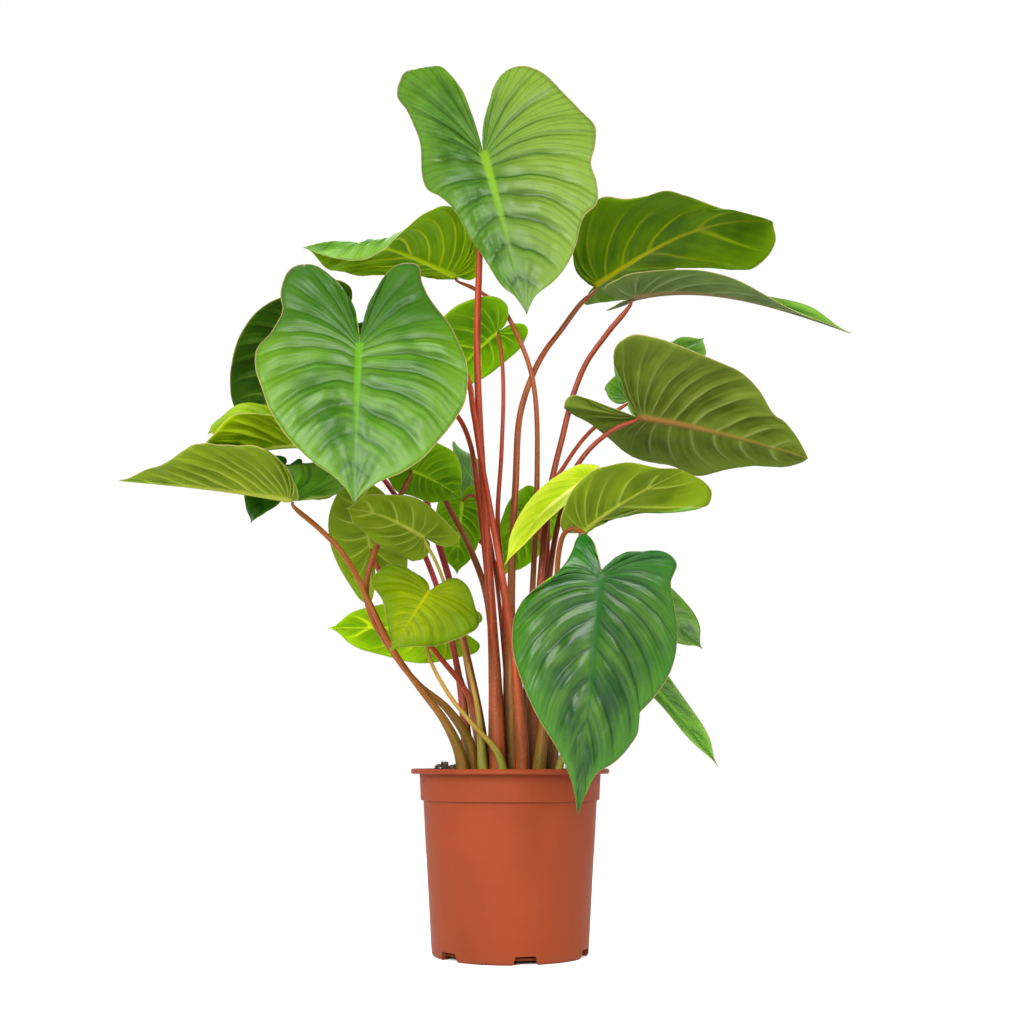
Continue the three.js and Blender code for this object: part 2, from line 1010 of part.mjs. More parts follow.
// The bent surface of a blade: at(a, t, side) is the point a of the way round the half outline from base to
// tip, and t of the way along the vein from the midrib to the margin.
function bladeForm(leaf) {
  const base = new Vector3(...leaf.base);
  const tip = new Vector3(...leaf.tip);
  const chord = base.distanceTo(tip);
  const ahead = tip.clone().sub(base).divideScalar(chord);
  const up = facing(leaf.faces);
  up.addScaledVector(ahead, -up.dot(ahead)).normalize();
  const across = up.clone().cross(ahead);
  const [inner, outer] = leaf.arch.map((rise, i) =>
    base
      .clone()
      .addScaledVector(ahead, ((i + 1) * chord) / 3)
      .addScaledVector(up, rise * chord),
  );
  const midrib = new THREE.CubicBezierCurve3(base, inner, outer, tip);
  midrib.arcLengthDivisions = 100;
  const length = midrib.getLength();
  const outlines = leaf.halves.map((half) => outlineCurve(half, length));
  const lobe = Math.max(...outlines.map((o) => o.lobe));
  const fold = leaf.fold.map(radians);
  const foldTip = (leaf.foldTip ?? leaf.fold).map(radians);
  const curl = leaf.curl.map(radians);
  const lift = (leaf.lift ?? [0, 0]).map(radians);
  const twist = radians(leaf.twist ?? 0);
  const [waveHeight, waves, waveStart] = leaf.wave;

  // Where on the midrib a vein starts
  function veinStart(a) {
    const past = clamp01((a - LOBE_SHARE) / (1 - LOBE_SHARE)) ** VEIN_CROWDING;
    return length * (LOBE_VEINS * Math.min(a / LOBE_SHARE, 1) + (1 - LOBE_VEINS) * past);
  }

  // The place of a point along a vein, on the blade laid flat
  function flatPlace(a, t, side) {
    const start = [0, veinStart(a)];
    const end = outlines[side].at(a);
    const run = [end[0] - start[0], end[1] - start[1]];
    const slant = run[0] / Math.max(Math.hypot(...run), 1e-6);
    const bow = VEIN_BOW * clamp01((a - 0.12) / 0.3) * clamp01(3 * slant - 0.8);
    const middle = [start[0] + run[0] / 2 + bow * run[1], start[1] + run[1] / 2 - bow * run[0]];
    const weights = [(1 - t) ** 2, 2 * t * (1 - t), t * t];
    return [0, 1].map((k) => weights[0] * start[k] + weights[1] * middle[k] + weights[2] * end[k]);
  }

  function at(a, t, side) {
    const [x, y] = flatPlace(a, t, side);
    const share = clamp01(y / length);
    const u = midrib.getUtoTmapping(share);
    const along = midrib.getTangent(u);
    const spine = midrib.getPoint(u);
    const sideways = across.clone().addScaledVector(along, -across.dot(along)).normalize();
    const normal = along.clone().cross(sideways);
    if (y < 0) {
      const bend = (lift[side] * -y) / lobe;
      const back = Math.abs(bend) < 1e-6 ? -y : (lobe / lift[side]) * Math.sin(bend);
      const rise = Math.abs(bend) < 1e-6 ? 0 : (lobe / lift[side]) * (1 - Math.cos(bend));
      spine.addScaledVector(along, -back).addScaledVector(normal, rise);
      const flat = along.clone();
      along.multiplyScalar(Math.cos(bend)).addScaledVector(normal, -Math.sin(bend));
      normal.multiplyScalar(Math.cos(bend)).addScaledVector(flat, Math.sin(bend));
    }
    if (y > length) spine.addScaledVector(along, y - length);
    if (twist) {
      const turn = (twist * Math.max(0, y)) / length;
      const level = sideways.clone();
      sideways.multiplyScalar(Math.cos(turn)).addScaledVector(normal, Math.sin(turn));
      normal.multiplyScalar(Math.cos(turn)).addScaledVector(level, -Math.sin(turn));
    }
    const width = outlines[side].width;
    const k = curl[side];
    const folded = mix(fold[side], foldTip[side], share * share);
    const turned = folded + (k * Math.abs(x)) / width;
    const out = (width / k) * (Math.sin(turned) - Math.sin(folded));
    const swing = waveHeight * Math.sin(2 * Math.PI * (waves * a + waveStart + OTHER_HALF_WAVE * side));
    const wave = swing * t * t * Math.min(1, (1 - a) * 6);
    const rise = (width / k) * (Math.cos(folded) - Math.cos(turned)) + wave;
    const outward = (side === 1 ? 1 : -1) * (x < 0 ? -1 : 1);
    return spine.addScaledVector(sideways, outward * out).addScaledVector(normal, rise);
  }
  const baseNormal = midrib.getTangent(0).cross(across).normalize();
  return { at, length, baseNormal };
}

// A blade as one closed sheet solid: two faces split alike, a ridge under the midrib and a furrow over it.
// Its seat is the spot under the base that the petiole comes to, and down is the way out of the blade there.
function blade(form) {
  const small = form.length < SMALL_BLADE;
  const growth = clamp01((form.length - SMALL_BLADE) / (LARGE_BLADE - SMALL_BLADE));
  const rows = small ? SMALL_ROWS : Math.round(mix(...LARGE_ROWS, growth));
  const columns = small ? SMALL_COLUMNS : LARGE_COLUMNS;
  const places = [];
  const faces = [];
  const base = places.push(form.at(0, 0, 0)) - 1;
  const tip = places.push(form.at(1, 0, 0)) - 1;
  const ridge = new Set([base, tip]);
  const spine = [];
  for (let i = 1; i < rows; i++) {
    const place = places.push(form.at(i / rows, 0, 0)) - 1;
    spine.push(place);
    ridge.add(place);
  }
  const margins = [0, 1].map((side) => {
    const grid = spine.map((start, i) => [
      start,
      ...columns.slice(1).map((t) => places.push(form.at((i + 1) / rows, t, side)) - 1),
    ]);
    const put = (a, b, c) => faces.push(side ? [a, c, b] : [a, b, c]);
    for (let j = 0; j + 1 < columns.length; j++) {
      put(base, grid[0][j + 1], grid[0][j]);
      put(tip, grid.at(-1)[j], grid.at(-1)[j + 1]);
      for (let i = 0; i + 1 < grid.length; i++) {
        put(grid[i][j], grid[i][j + 1], grid[i + 1][j + 1]);
        put(grid[i][j], grid[i + 1][j + 1], grid[i + 1][j]);
      }
    }
    return grid.map((row) => row.at(-1));
  });

  const normals = places.map(() => new Vector3());
  for (const [a, b, c] of faces) {
    const normal = places[b].clone().sub(places[a]).cross(places[c].clone().sub(places[a]));
    for (const i of [a, b, c]) normals[i].add(normal);
  }
  normals[base].copy(form.baseNormal);
  normals.forEach((normal) => normal.normalize());
  const half = BLADE_THICKNESS / 2;
  const upper = places.map((p, i) => {
    const depth = ridge.has(i) && i !== base && i !== tip ? GROOVE_DEPTH : 0;
    return p.clone().addScaledVector(normals[i], half - depth);
  });
  const lower = places.map((p, i) => {
    const height = ridge.has(i) && i !== tip ? MIDRIB_HEIGHT : 0;
    return p.clone().addScaledVector(normals[i], -half - height);
  });
  const count = places.length;
  const triangles = faces.flatMap(([a, b, c]) => [
    [a, b, c],
    [a + count, c + count, b + count],
  ]);
  margins.forEach((margin, side) => {
    const edge = [base, ...margin, tip];
    for (let i = 0; i + 1 < edge.length; i++) {
      const [a, b] = side ? [edge[i + 1], edge[i]] : [edge[i], edge[i + 1]];
      triangles.push([b, a, a + count], [b, a + count, b + count]);
    }
  });
  const solid = solidFrom([...upper, ...lower], triangles);
  return { solid, seat: lower[base], down: normals[base].negate() };
}

// The run of a petiole, from under its blade down into the soil
function petiolePath(leaf, { seat, down }) {
  const run = leaf.stem.map(([x, y, z]) => new Vector3(x, y, z ?? SOIL_LEVEL - ROOT_DEPTH));
  const top = seat.clone().addScaledVector(down, CLEARANCE);
  const onward = run[0].clone().sub(top).normalize();
  const tooSharp = Math.max(0, down.angleTo(onward) - radians(SHARPEST_TURN));
  const axis = down.clone().cross(onward).normalize();
  const neck = down.clone().applyAxisAngle(axis, tooSharp).multiplyScalar(NECK * leaf.radii[0]);
  return new THREE.CatmullRomCurve3([top, top.clone().add(neck), ...run]);
}

// Where along a petiole its rings stand: two close ones where it turns out of the blade, then even ones
function ringShares(run, topRadius) {
  const neck = (NECK * topRadius) / run;
  const even = Math.max(LEAST_STALK_RINGS, Math.round(run / STALK_RING_SPACING));
  return [0, neck, ...Array.from({ length: even }, (_, i) => mix(2 * neck, 1, i / (even - 1)))];
}

// A tube of changing radius with rings at the given shares of a path, closed at both ends
function tubeSolid(path, radiusAt, shares, sides) {
  const vertices = [];
  const triangles = [];
  const last = shares.length - 1;
  let across = new Vector3(1, 0, 0);
  for (const share of shares) {
    const centre = path.getPointAt(share);
    const along = path.getTangentAt(share);
    across = across.clone().addScaledVector(along, -across.dot(along)).normalize();
    const aside = along.clone().cross(across);
    for (let j = 0; j < sides; j++) {
      const angle = (2 * Math.PI * j) / sides;
      const radius = radiusAt(share);
      vertices.push(
        centre
          .clone()
          .addScaledVector(across, radius * Math.cos(angle))
          .addScaledVector(aside, radius * Math.sin(angle)),
      );
    }
  }
  for (let j = 0; j < sides; j++) {
    const next = (j + 1) % sides;
    for (let i = 0; i < last; i++) {
      const [a, b] = [i * sides + j, i * sides + next];
      triangles.push([a, b, b + sides], [a, b + sides, a + sides]);
    }
    if (j > 0 && next > 0) {
      triangles.push([0, next, j], [last * sides, last * sides + j, last * sides + next]);
    }
  }
  return solidFrom(vertices, triangles);
}

function petioleRadius(leaf) {
  const [top, root] = leaf.radii;
  return (share) => {
    const neck = mix(NECK_SLIMNESS, 1, clamp01(share / 0.04));
    return top * neck + (root - top) * share ** ROOT_FLARE;
  };
}

// The pot: a turned shell with a lip, an outer band, a tapered body and a raised floor
function potSolid() {
  const bandBottom = POT_HEIGHT - BAND_HEIGHT;
  const lipBottom = POT_HEIGHT - RIM_THICKNESS;
  const floorTop = FLOOR_UNDERSIDE + FLOOR_THICKNESS;
  const profile = [
    [0, FLOOR_UNDERSIDE],
    [FOOT_RADIUS - FOOT_RING_WIDTH, FLOOR_UNDERSIDE],
    [FOOT_RADIUS - FOOT_RING_WIDTH, 0],
    [FOOT_RADIUS, 0],
    [mix(FOOT_RADIUS, BODY_BOTTOM_RADIUS, 0.65), 0.2 * CORNER_HEIGHT],
    [BODY_BOTTOM_RADIUS, CORNER_HEIGHT],
    [BODY_TOP_RADIUS, bandBottom],
    [BAND_BOTTOM_RADIUS, bandBottom + EDGE_ROUNDING],
    [BAND_TOP_RADIUS, lipBottom],
    [RIM_RADIUS - EDGE_ROUNDING, lipBottom],
    [RIM_RADIUS, lipBottom + EDGE_ROUNDING],
    [RIM_RADIUS, POT_HEIGHT - EDGE_ROUNDING],
    [RIM_RADIUS - EDGE_ROUNDING, POT_HEIGHT],
    [BAND_TOP_RADIUS - WALL, POT_HEIGHT],
    [BODY_TOP_RADIUS - WALL, bandBottom],
    [BODY_BOTTOM_RADIUS - WALL, CORNER_HEIGHT],
    [FOOT_RADIUS - WALL, floorTop],
    [0, floorTop],
  ];
  let pot = turnedSolid(profile);
  for (let i = 0; i < NOTCH_COUNT; i++) {
    pot = pot.subtract(notchCutter(radians(NOTCH_FIRST_ANGLE + (360 * i) / NOTCH_COUNT)));
  }
  return pot;
}

// A turned solid about +Z from a profile of [radius, height] that starts and ends on the axis
function turnedSolid(profile) {
  const points = profile.map(([radius, height]) => new THREE.Vector2(radius, height));
  const geometry = new THREE.LatheGeometry(points, POT_SIDES, Math.PI / POT_SIDES);
  return solidOf(geometry.rotateX(Math.PI / 2));
}

// A tapering block that cuts one drain notch through the foot, angle radians round from the front
function notchCutter(angle) {
  const near = FOOT_RADIUS - FOOT_RING_WIDTH - 2;
  const far = BODY_BOTTOM_RADIUS + 5;
  const outline = new THREE.Shape([
    new THREE.Vector2(-NOTCH_BOTTOM_WIDTH / 2, -1),
    new THREE.Vector2(NOTCH_BOTTOM_WIDTH / 2, -1),
    new THREE.Vector2(NOTCH_TOP_WIDTH / 2, NOTCH_HEIGHT),
    new THREE.Vector2(-NOTCH_TOP_WIDTH / 2, NOTCH_HEIGHT),
  ]);
  const block = new THREE.ExtrudeGeometry(outline, { depth: far - near, bevelEnabled: false });
  block.rotateX(Math.PI / 2);
  block.translate(0, -near, 0);
  block.rotateZ(angle);
  return solidOf(block);
}

// A closed three.js shape as a solid
function solidOf(geometry) {
  geometry.deleteAttribute("normal");
  geometry.deleteAttribute("uv");
  const merged = mergeVertices(geometry, 1e-3);
  const vertProperties = new Float32Array(merged.getAttribute("position").array);
  const triVerts = new Uint32Array(merged.getIndex().array);
  return new wasm.Manifold(new wasm.Mesh({ numProp: 3, vertProperties, triVerts }));
}

// A repeatable random number source
function seededRandom(seed) {
  let state = seed;
  return () => {
    state = (state * 16807) % 2147483647;
    return state / 2147483647;
  };
}

// The soil fills the pot to just under the rim, with lumps heaped over its surface and holes for the roots
function soilSolid(holes) {
  const random = seededRandom(SOIL_SEED);
  const floorTop = FLOOR_UNDERSIDE + FLOOR_THICKNESS + CLEARANCE;
  const bandBottom = POT_HEIGHT - BAND_HEIGHT;
  const inset = WALL + 2 * CLEARANCE;
  const filled = (SOIL_LEVEL - bandBottom) / BAND_HEIGHT;
  const topRadius = mix(BODY_TOP_RADIUS, BAND_TOP_RADIUS, filled) - inset;
  const lumps = Array.from({ length: SOIL_LUMPS }, () => {
    const round = 2 * Math.PI * random();
    const out = (topRadius - SOIL_EDGE) * Math.sqrt(random());
    const height = mix(...LUMP_HEIGHTS, random());
    const width = mix(...LUMP_WIDTHS, random());
    return { x: out * Math.cos(round), y: out * Math.sin(round), height, width };
  });
  const heap = (x, y) =>
    lumps
      .map((l) => l.height * Math.exp(-((x - l.x) ** 2 + (y - l.y) ** 2) / l.width ** 2))
      .reduce((sum, height) => sum + height);
  const rings = Array.from({ length: SOIL_RINGS }, (_, i) => topRadius * (1 - i / SOIL_RINGS));
  const surface = rings.map((radius) => [radius, SOIL_LEVEL]);
  const profile = [
    [0, floorTop],
    [FOOT_RADIUS - inset, floorTop],
    [BODY_BOTTOM_RADIUS - inset, CORNER_HEIGHT],
    [BODY_TOP_RADIUS - inset, bandBottom],
    ...surface,
    [0, SOIL_LEVEL],
  ];
  let soil = turnedSolid(profile).warp((v) => {
    if (v[2] < SOIL_LEVEL - 1) return;
    const out = Math.hypot(v[0], v[1]);
    v[2] += heap(v[0], v[1]) * clamp01((topRadius - out) / SOIL_EDGE);
  });
  for (const hole of holes) soil = soil.subtract(hole);
  return soil;
}

// Finishes, as seen in soft daylight
const POT_PLASTIC = { color: 0xb5502e, roughness: 0.62 };
const SOIL = { color: 0x3a2a20, roughness: 0.95 };
const RED_STALK = { color: 0x8b4028, roughness: 0.45 };
const GREEN_BLADE = { color: 0x4c9430, roughness: 0.42 };
const DEEP_BLADE = { color: 0x2e7a1e, roughness: 0.38 };
const BRIGHT_BLADE = { color: 0x9cc024, roughness: 0.42 };
const OLIVE_BLADE = { color: 0x6c8a28, roughness: 0.5 };
const FINISH_OF_LEAF = {
  low_front: DEEP_BLADE,
  left_dark: DEEP_BLADE,
  young: BRIGHT_BLADE,
  spotted: BRIGHT_BLADE,
  left_bright: BRIGHT_BLADE,
  high_left: OLIVE_BLADE,
  olive_right: OLIVE_BLADE,
  hanging_left: OLIVE_BLADE,
  cupped_left: OLIVE_BLADE,
  low_left: OLIVE_BLADE,
};

const plant = new THREE.Group();
plant.name = "potted_homalomena";
plant.position.set(CENTRE_SHIFT[0], CENTRE_SHIFT[1], 0);

function addNode(name, solid, finish) {
  const material = new THREE.MeshStandardMaterial({ metalness: 0, ...finish });
  const mesh = new THREE.Mesh(geometryFrom(solid), material);
  mesh.name = name;
  plant.add(mesh);
}

const rootHoles = [];
for (const [name, leaf] of Object.entries(LEAVES)) {
  const { solid, ...joint } = blade(bladeForm(leaf));
  const path = petiolePath(leaf, joint);
  const run = path.getLength();
  const radiusAt = petioleRadius(leaf);
  const holeRadiusAt = (share) => radiusAt(share) + HOLE_MARGIN;
  const holeTop = 1 - HOLE_LENGTH / run;
  addNode("leaf_" + name, solid, FINISH_OF_LEAF[name] ?? GREEN_BLADE);
  const shares = ringShares(run, leaf.radii[0]);
  addNode("petiole_" + name, tubeSolid(path, radiusAt, shares, STALK_SIDES), RED_STALK);
  rootHoles.push(tubeSolid(path, holeRadiusAt, [holeTop, mix(holeTop, 1, 0.5), 1], STALK_SIDES));
}
addNode("soil", soilSolid(rootHoles), SOIL);
addNode("pot", potSolid(), POT_PLASTIC);

export default plant;
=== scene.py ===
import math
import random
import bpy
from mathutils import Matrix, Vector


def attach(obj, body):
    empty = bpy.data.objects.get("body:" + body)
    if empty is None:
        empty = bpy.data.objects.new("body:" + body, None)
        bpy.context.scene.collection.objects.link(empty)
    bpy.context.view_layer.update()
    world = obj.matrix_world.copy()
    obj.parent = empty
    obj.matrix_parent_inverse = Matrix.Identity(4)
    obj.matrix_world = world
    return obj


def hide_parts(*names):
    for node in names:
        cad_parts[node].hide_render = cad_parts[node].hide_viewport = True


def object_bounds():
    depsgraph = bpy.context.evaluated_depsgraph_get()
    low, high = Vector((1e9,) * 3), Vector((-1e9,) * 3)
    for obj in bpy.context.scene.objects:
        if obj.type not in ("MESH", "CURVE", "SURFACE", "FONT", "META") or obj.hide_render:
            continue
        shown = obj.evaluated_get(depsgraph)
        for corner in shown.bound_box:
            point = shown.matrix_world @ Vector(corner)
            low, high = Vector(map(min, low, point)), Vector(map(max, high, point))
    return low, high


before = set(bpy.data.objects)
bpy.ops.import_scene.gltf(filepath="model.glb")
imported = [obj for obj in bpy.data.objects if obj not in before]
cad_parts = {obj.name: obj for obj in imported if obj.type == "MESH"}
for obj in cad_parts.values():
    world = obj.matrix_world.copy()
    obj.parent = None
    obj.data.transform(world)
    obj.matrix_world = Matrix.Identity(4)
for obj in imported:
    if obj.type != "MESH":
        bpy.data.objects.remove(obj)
cad_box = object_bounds()

# Potted foliage plant: broad heart-shaped leaves on long reddish petioles, standing in a nursery pot.
# The tables are in millimetres from the pot's axis, +Z up, and every mesh is in metres in the frame of the
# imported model. X runs to the viewer's right and Y away from the viewer.
from types import SimpleNamespace

import bmesh
import bpy
from bpy.props import FloatProperty, FloatVectorProperty, IntProperty
from mathutils import Matrix, Vector, noise

bl_info = {
    "name": "Potted Homalomena",
    "version": (1, 0, 0),
    "blender": (4, 5, 0),
    "location": "View3D > Sidebar > Plant",
    "description": "Builds the blades, petioles, soil and pot of a potted homalomena round its packed model",
    "category": "Object",
}

MM = 0.001
POT_AXIS = Vector((22, 1, 0)) * MM  # from the middle of the whole plant to the pot's axis

# Half outlines in leaf lengths: (out from the midrib, toward the tip), from the sinus round the lobe

# Most leaves share the form of their lobe, in half widths and lobe lengths
LOBE = ((0.04, -0.38), (0.14, -0.72), (0.34, -1), (0.6, -0.92))
# The rest of the margin in half widths and leaf lengths: broad with a short point, run out in a long point,
# and broad almost to the tip. The first number is where the lobe ends.
ROUND = (
    0.8, (0.95, 0), (1, 0.2), (0.93, 0.43), (0.73, 0.64), (0.46, 0.81), (0.19, 0.9), (0.06, 0.95), (0, 1),
)
TAPERED = (
    0.82, (0.97, 0), (1, 0.14), (0.88, 0.32), (0.64, 0.5), (0.4, 0.67), (0.18, 0.82), (0.06, 0.92), (0, 1),
)
BLUNT = (
    0.8, (0.95, 0), (1, 0.22), (0.99, 0.45), (0.88, 0.66), (0.65, 0.82), (0.35, 0.92), (0.1, 0.97), (0, 1),
)


def half(width, lobe, margin=ROUND):
    lobed = [(x * width, y * lobe) for x, y in (*LOBE, (margin[0], -0.5))]
    return (*lobed, *[(x * width, y) for x, y in margin[1:]])


# Outlines of the leaves that face the viewer or show their whole underside
CROWN_LEFT = (
    (0, -0.16), (0.006, -0.32), (0.02, -0.48), (0.07, -0.66), (0.15, -0.78), (0.24, -0.82),
    (0.33, -0.76), (0.38, -0.64), (0.35, -0.52), (0.33, -0.4), (0.32, -0.25), (0.35, -0.08),
    (0.35, 0.06), (0.29, 0.16), (0.23, 0.29), (0.19, 0.46), (0.14, 0.62), (0.09, 0.8), (0.04, 0.88),
    (0.01, 0.96), (0, 1),
)
CROWN_RIGHT = (
    (0.03, -0.15), (0.08, -0.28), (0.18, -0.46), (0.28, -0.52), (0.38, -0.5), (0.47, -0.38),
    (0.58, -0.14), (0.61, -0.03), (0.57, 0.11), (0.52, 0.22), (0.52, 0.34), (0.49, 0.46), (0.4, 0.53),
    (0.32, 0.69), (0.25, 0.79), (0.17, 0.86), (0.07, 0.91), (0.025, 0.96), (0, 1),
)
FRONT_LEFT = (
    (0.01, -0.08), (0.03, -0.23), (0.09, -0.38), (0.19, -0.52), (0.29, -0.6), (0.38, -0.6),
    (0.45, -0.52), (0.47, -0.38), (0.45, -0.25), (0.5, -0.11), (0.57, 0.03), (0.56, 0.18),
    (0.51, 0.33), (0.46, 0.46), (0.36, 0.62), (0.22, 0.77), (0.1, 0.86), (0.03, 0.94), (0, 1),
)
FRONT_RIGHT = (
    (0.01, -0.13), (0.05, -0.3), (0.1, -0.44), (0.17, -0.56), (0.25, -0.6), (0.32, -0.58),
    (0.34, -0.45), (0.41, -0.28), (0.49, -0.13), (0.56, 0.05), (0.6, 0.2), (0.59, 0.38), (0.54, 0.51),
    (0.46, 0.64), (0.37, 0.76), (0.26, 0.84), (0.13, 0.89), (0.04, 0.95), (0, 1),
)
LOW_LEFT = (
    (0.018, -0.06), (0.038, -0.12), (0.062, -0.17), (0.09, -0.19), (0.115, -0.15), (0.13, -0.08),
    (0.155, -0.02), (0.2, 0.04), (0.28, 0.1), (0.34, 0.18), (0.355, 0.28), (0.33, 0.4), (0.27, 0.52),
    (0.2, 0.63), (0.12, 0.73), (0.05, 0.84), (0.02, 0.92), (0, 1),
)
LOW_RIGHT = (
    (0.03, -0.03), (0.1, -0.07), (0.2, -0.11), (0.28, -0.11), (0.33, -0.07), (0.31, 0.01),
    (0.34, 0.12), (0.36, 0.25), (0.34, 0.38), (0.28, 0.49), (0.21, 0.58), (0.22, 0.64), (0.19, 0.7),
    (0.13, 0.77), (0.06, 0.82), (0.03, 0.89), (0.01, 0.95), (0, 1),
)
SPOTTED_LEFT = (
    (0.1, -0.1), (0.22, -0.16), (0.36, -0.17), (0.52, -0.14), (0.66, -0.05), (0.73, 0.12), (0.7, 0.28),
    (0.55, 0.37), (0.38, 0.5), (0.24, 0.66), (0.12, 0.78), (0.04, 0.87), (0, 1),
)
SPOTTED_RIGHT = (
    (0.03, -0.12), (0.1, -0.3), (0.18, -0.37), (0.32, -0.37), (0.46, -0.31), (0.62, -0.18),
    (0.74, -0.06), (0.77, 0.1), (0.7, 0.27), (0.57, 0.45), (0.41, 0.63), (0.2, 0.78), (0.05, 0.89),
    (0, 1),
)
HIGH_RIGHT_NEAR = (
    (0.05, -0.03), (0.14, -0.06), (0.25, -0.06), (0.35, -0.03), (0.42, 0.03), (0.46, 0.12),
    (0.47, 0.19), (0.42, 0.27), (0.4, 0.36), (0.39, 0.46), (0.3, 0.55), (0.22, 0.64), (0.17, 0.74),
    (0.18, 0.83), (0.12, 0.93), (0.04, 0.98), (0, 1),
)
HIGH_RIGHT_FAR = (
    (0.06, -0.05), (0.16, -0.05), (0.27, 0), (0.36, 0.12), (0.39, 0.25), (0.34, 0.37), (0.28, 0.48),
    (0.27, 0.6), (0.27, 0.72), (0.26, 0.82), (0.25, 0.92), (0.19, 1), (0.1, 1.03), (0.03, 1.01),
    (0, 1),
)
HIGH_LEFT_FAR = (
    (0.04, -0.03), (0.09, 0.03), (0.14, 0.12), (0.22, 0.22), (0.28, 0.34), (0.29, 0.48), (0.27, 0.62),
    (0.22, 0.75), (0.13, 0.87), (0.04, 0.95), (0, 1),
)
HIGH_LEFT_NEAR = (
    (0.05, -0.09), (0.14, -0.08), (0.26, -0.01), (0.38, 0.09), (0.49, 0.24), (0.53, 0.38), (0.49, 0.5),
    (0.4, 0.6), (0.3, 0.69), (0.2, 0.79), (0.11, 0.88), (0.04, 0.95), (0, 1),
)
BROAD_RIGHT_NEAR = (
    (0.05, -0.05), (0.12, -0.11), (0.22, -0.18), (0.31, -0.25), (0.4, -0.26), (0.46, -0.2),
    (0.47, -0.1), (0.46, 0.03), (0.44, 0.17), (0.41, 0.31), (0.37, 0.46), (0.3, 0.59), (0.2, 0.71),
    (0.17, 0.79), (0.11, 0.88), (0.04, 0.96), (0, 1),
)
BROAD_RIGHT_FAR = (
    (-0.02, -0.08), (-0.042, -0.19), (-0.06, -0.3), (-0.06, -0.39), (0, -0.42), (0.05, -0.36),
    (0.1, -0.23), (0.19, -0.08), (0.28, 0.05), (0.33, 0.18), (0.32, 0.33), (0.34, 0.49), (0.26, 0.61),
    (0.18, 0.76), (0.13, 0.9), (0.05, 0.98), (0, 1),
)
OLIVE_NEAR = (
    (0.06, -0.09), (0.15, -0.17), (0.25, -0.16), (0.31, -0.07), (0.35, 0.03), (0.39, 0.14),
    (0.43, 0.24), (0.4, 0.35), (0.32, 0.5), (0.21, 0.68), (0.12, 0.83), (0.05, 0.94), (0, 1),
)
OLIVE_FAR = (
    (0.08, -0.06), (0.14, 0.02), (0.13, 0.13), (0.12, 0.28), (0.13, 0.44), (0.17, 0.59), (0.21, 0.74),
    (0.25, 0.89), (0.29, 1.01), (0.31, 1.1), (0.24, 1.17), (0.14, 1.13), (0.05, 1.05), (0, 1),
)


def Leaf(
    base, tip, faces, halves, stem, radii, arch=(0.1, 0.1), fold=(0, 0), curl=(-10, -10), wave=(3, 3, 0.2),
    fold_tip=None, lift=(0, 0), twist=0,
):
    """Everything that gives one leaf its form.

    The petiole joins the blade at base. faces is the way the upper face looks, in degrees round from the
    front and degrees up. Seen from above with the tip ahead, the first of the halves is the left one. arch
    lifts the midrib at one and two thirds, in chords. fold turns each half up at the midrib, fold_tip the
    same near the tip, curl bends it on toward the margin, lift raises the lobes, twist turns the blade
    along its length, all in degrees, and wave is the margin's (height, waves, start). stem is the petiole's
    run from just under the leaf down to its root, and radii its radius at the top and at the root.
    """
    return SimpleNamespace(
        base=Vector(base), tip=Vector(tip), faces=faces, halves=halves, arch=arch,
        fold=[math.radians(x) for x in fold], fold_tip=[math.radians(x) for x in fold_tip or fold],
        curl=[math.radians(x) for x in curl], lift=[math.radians(x) for x in lift],
        twist=math.radians(twist), wave=wave, stem=stem, radii=radii,
    )


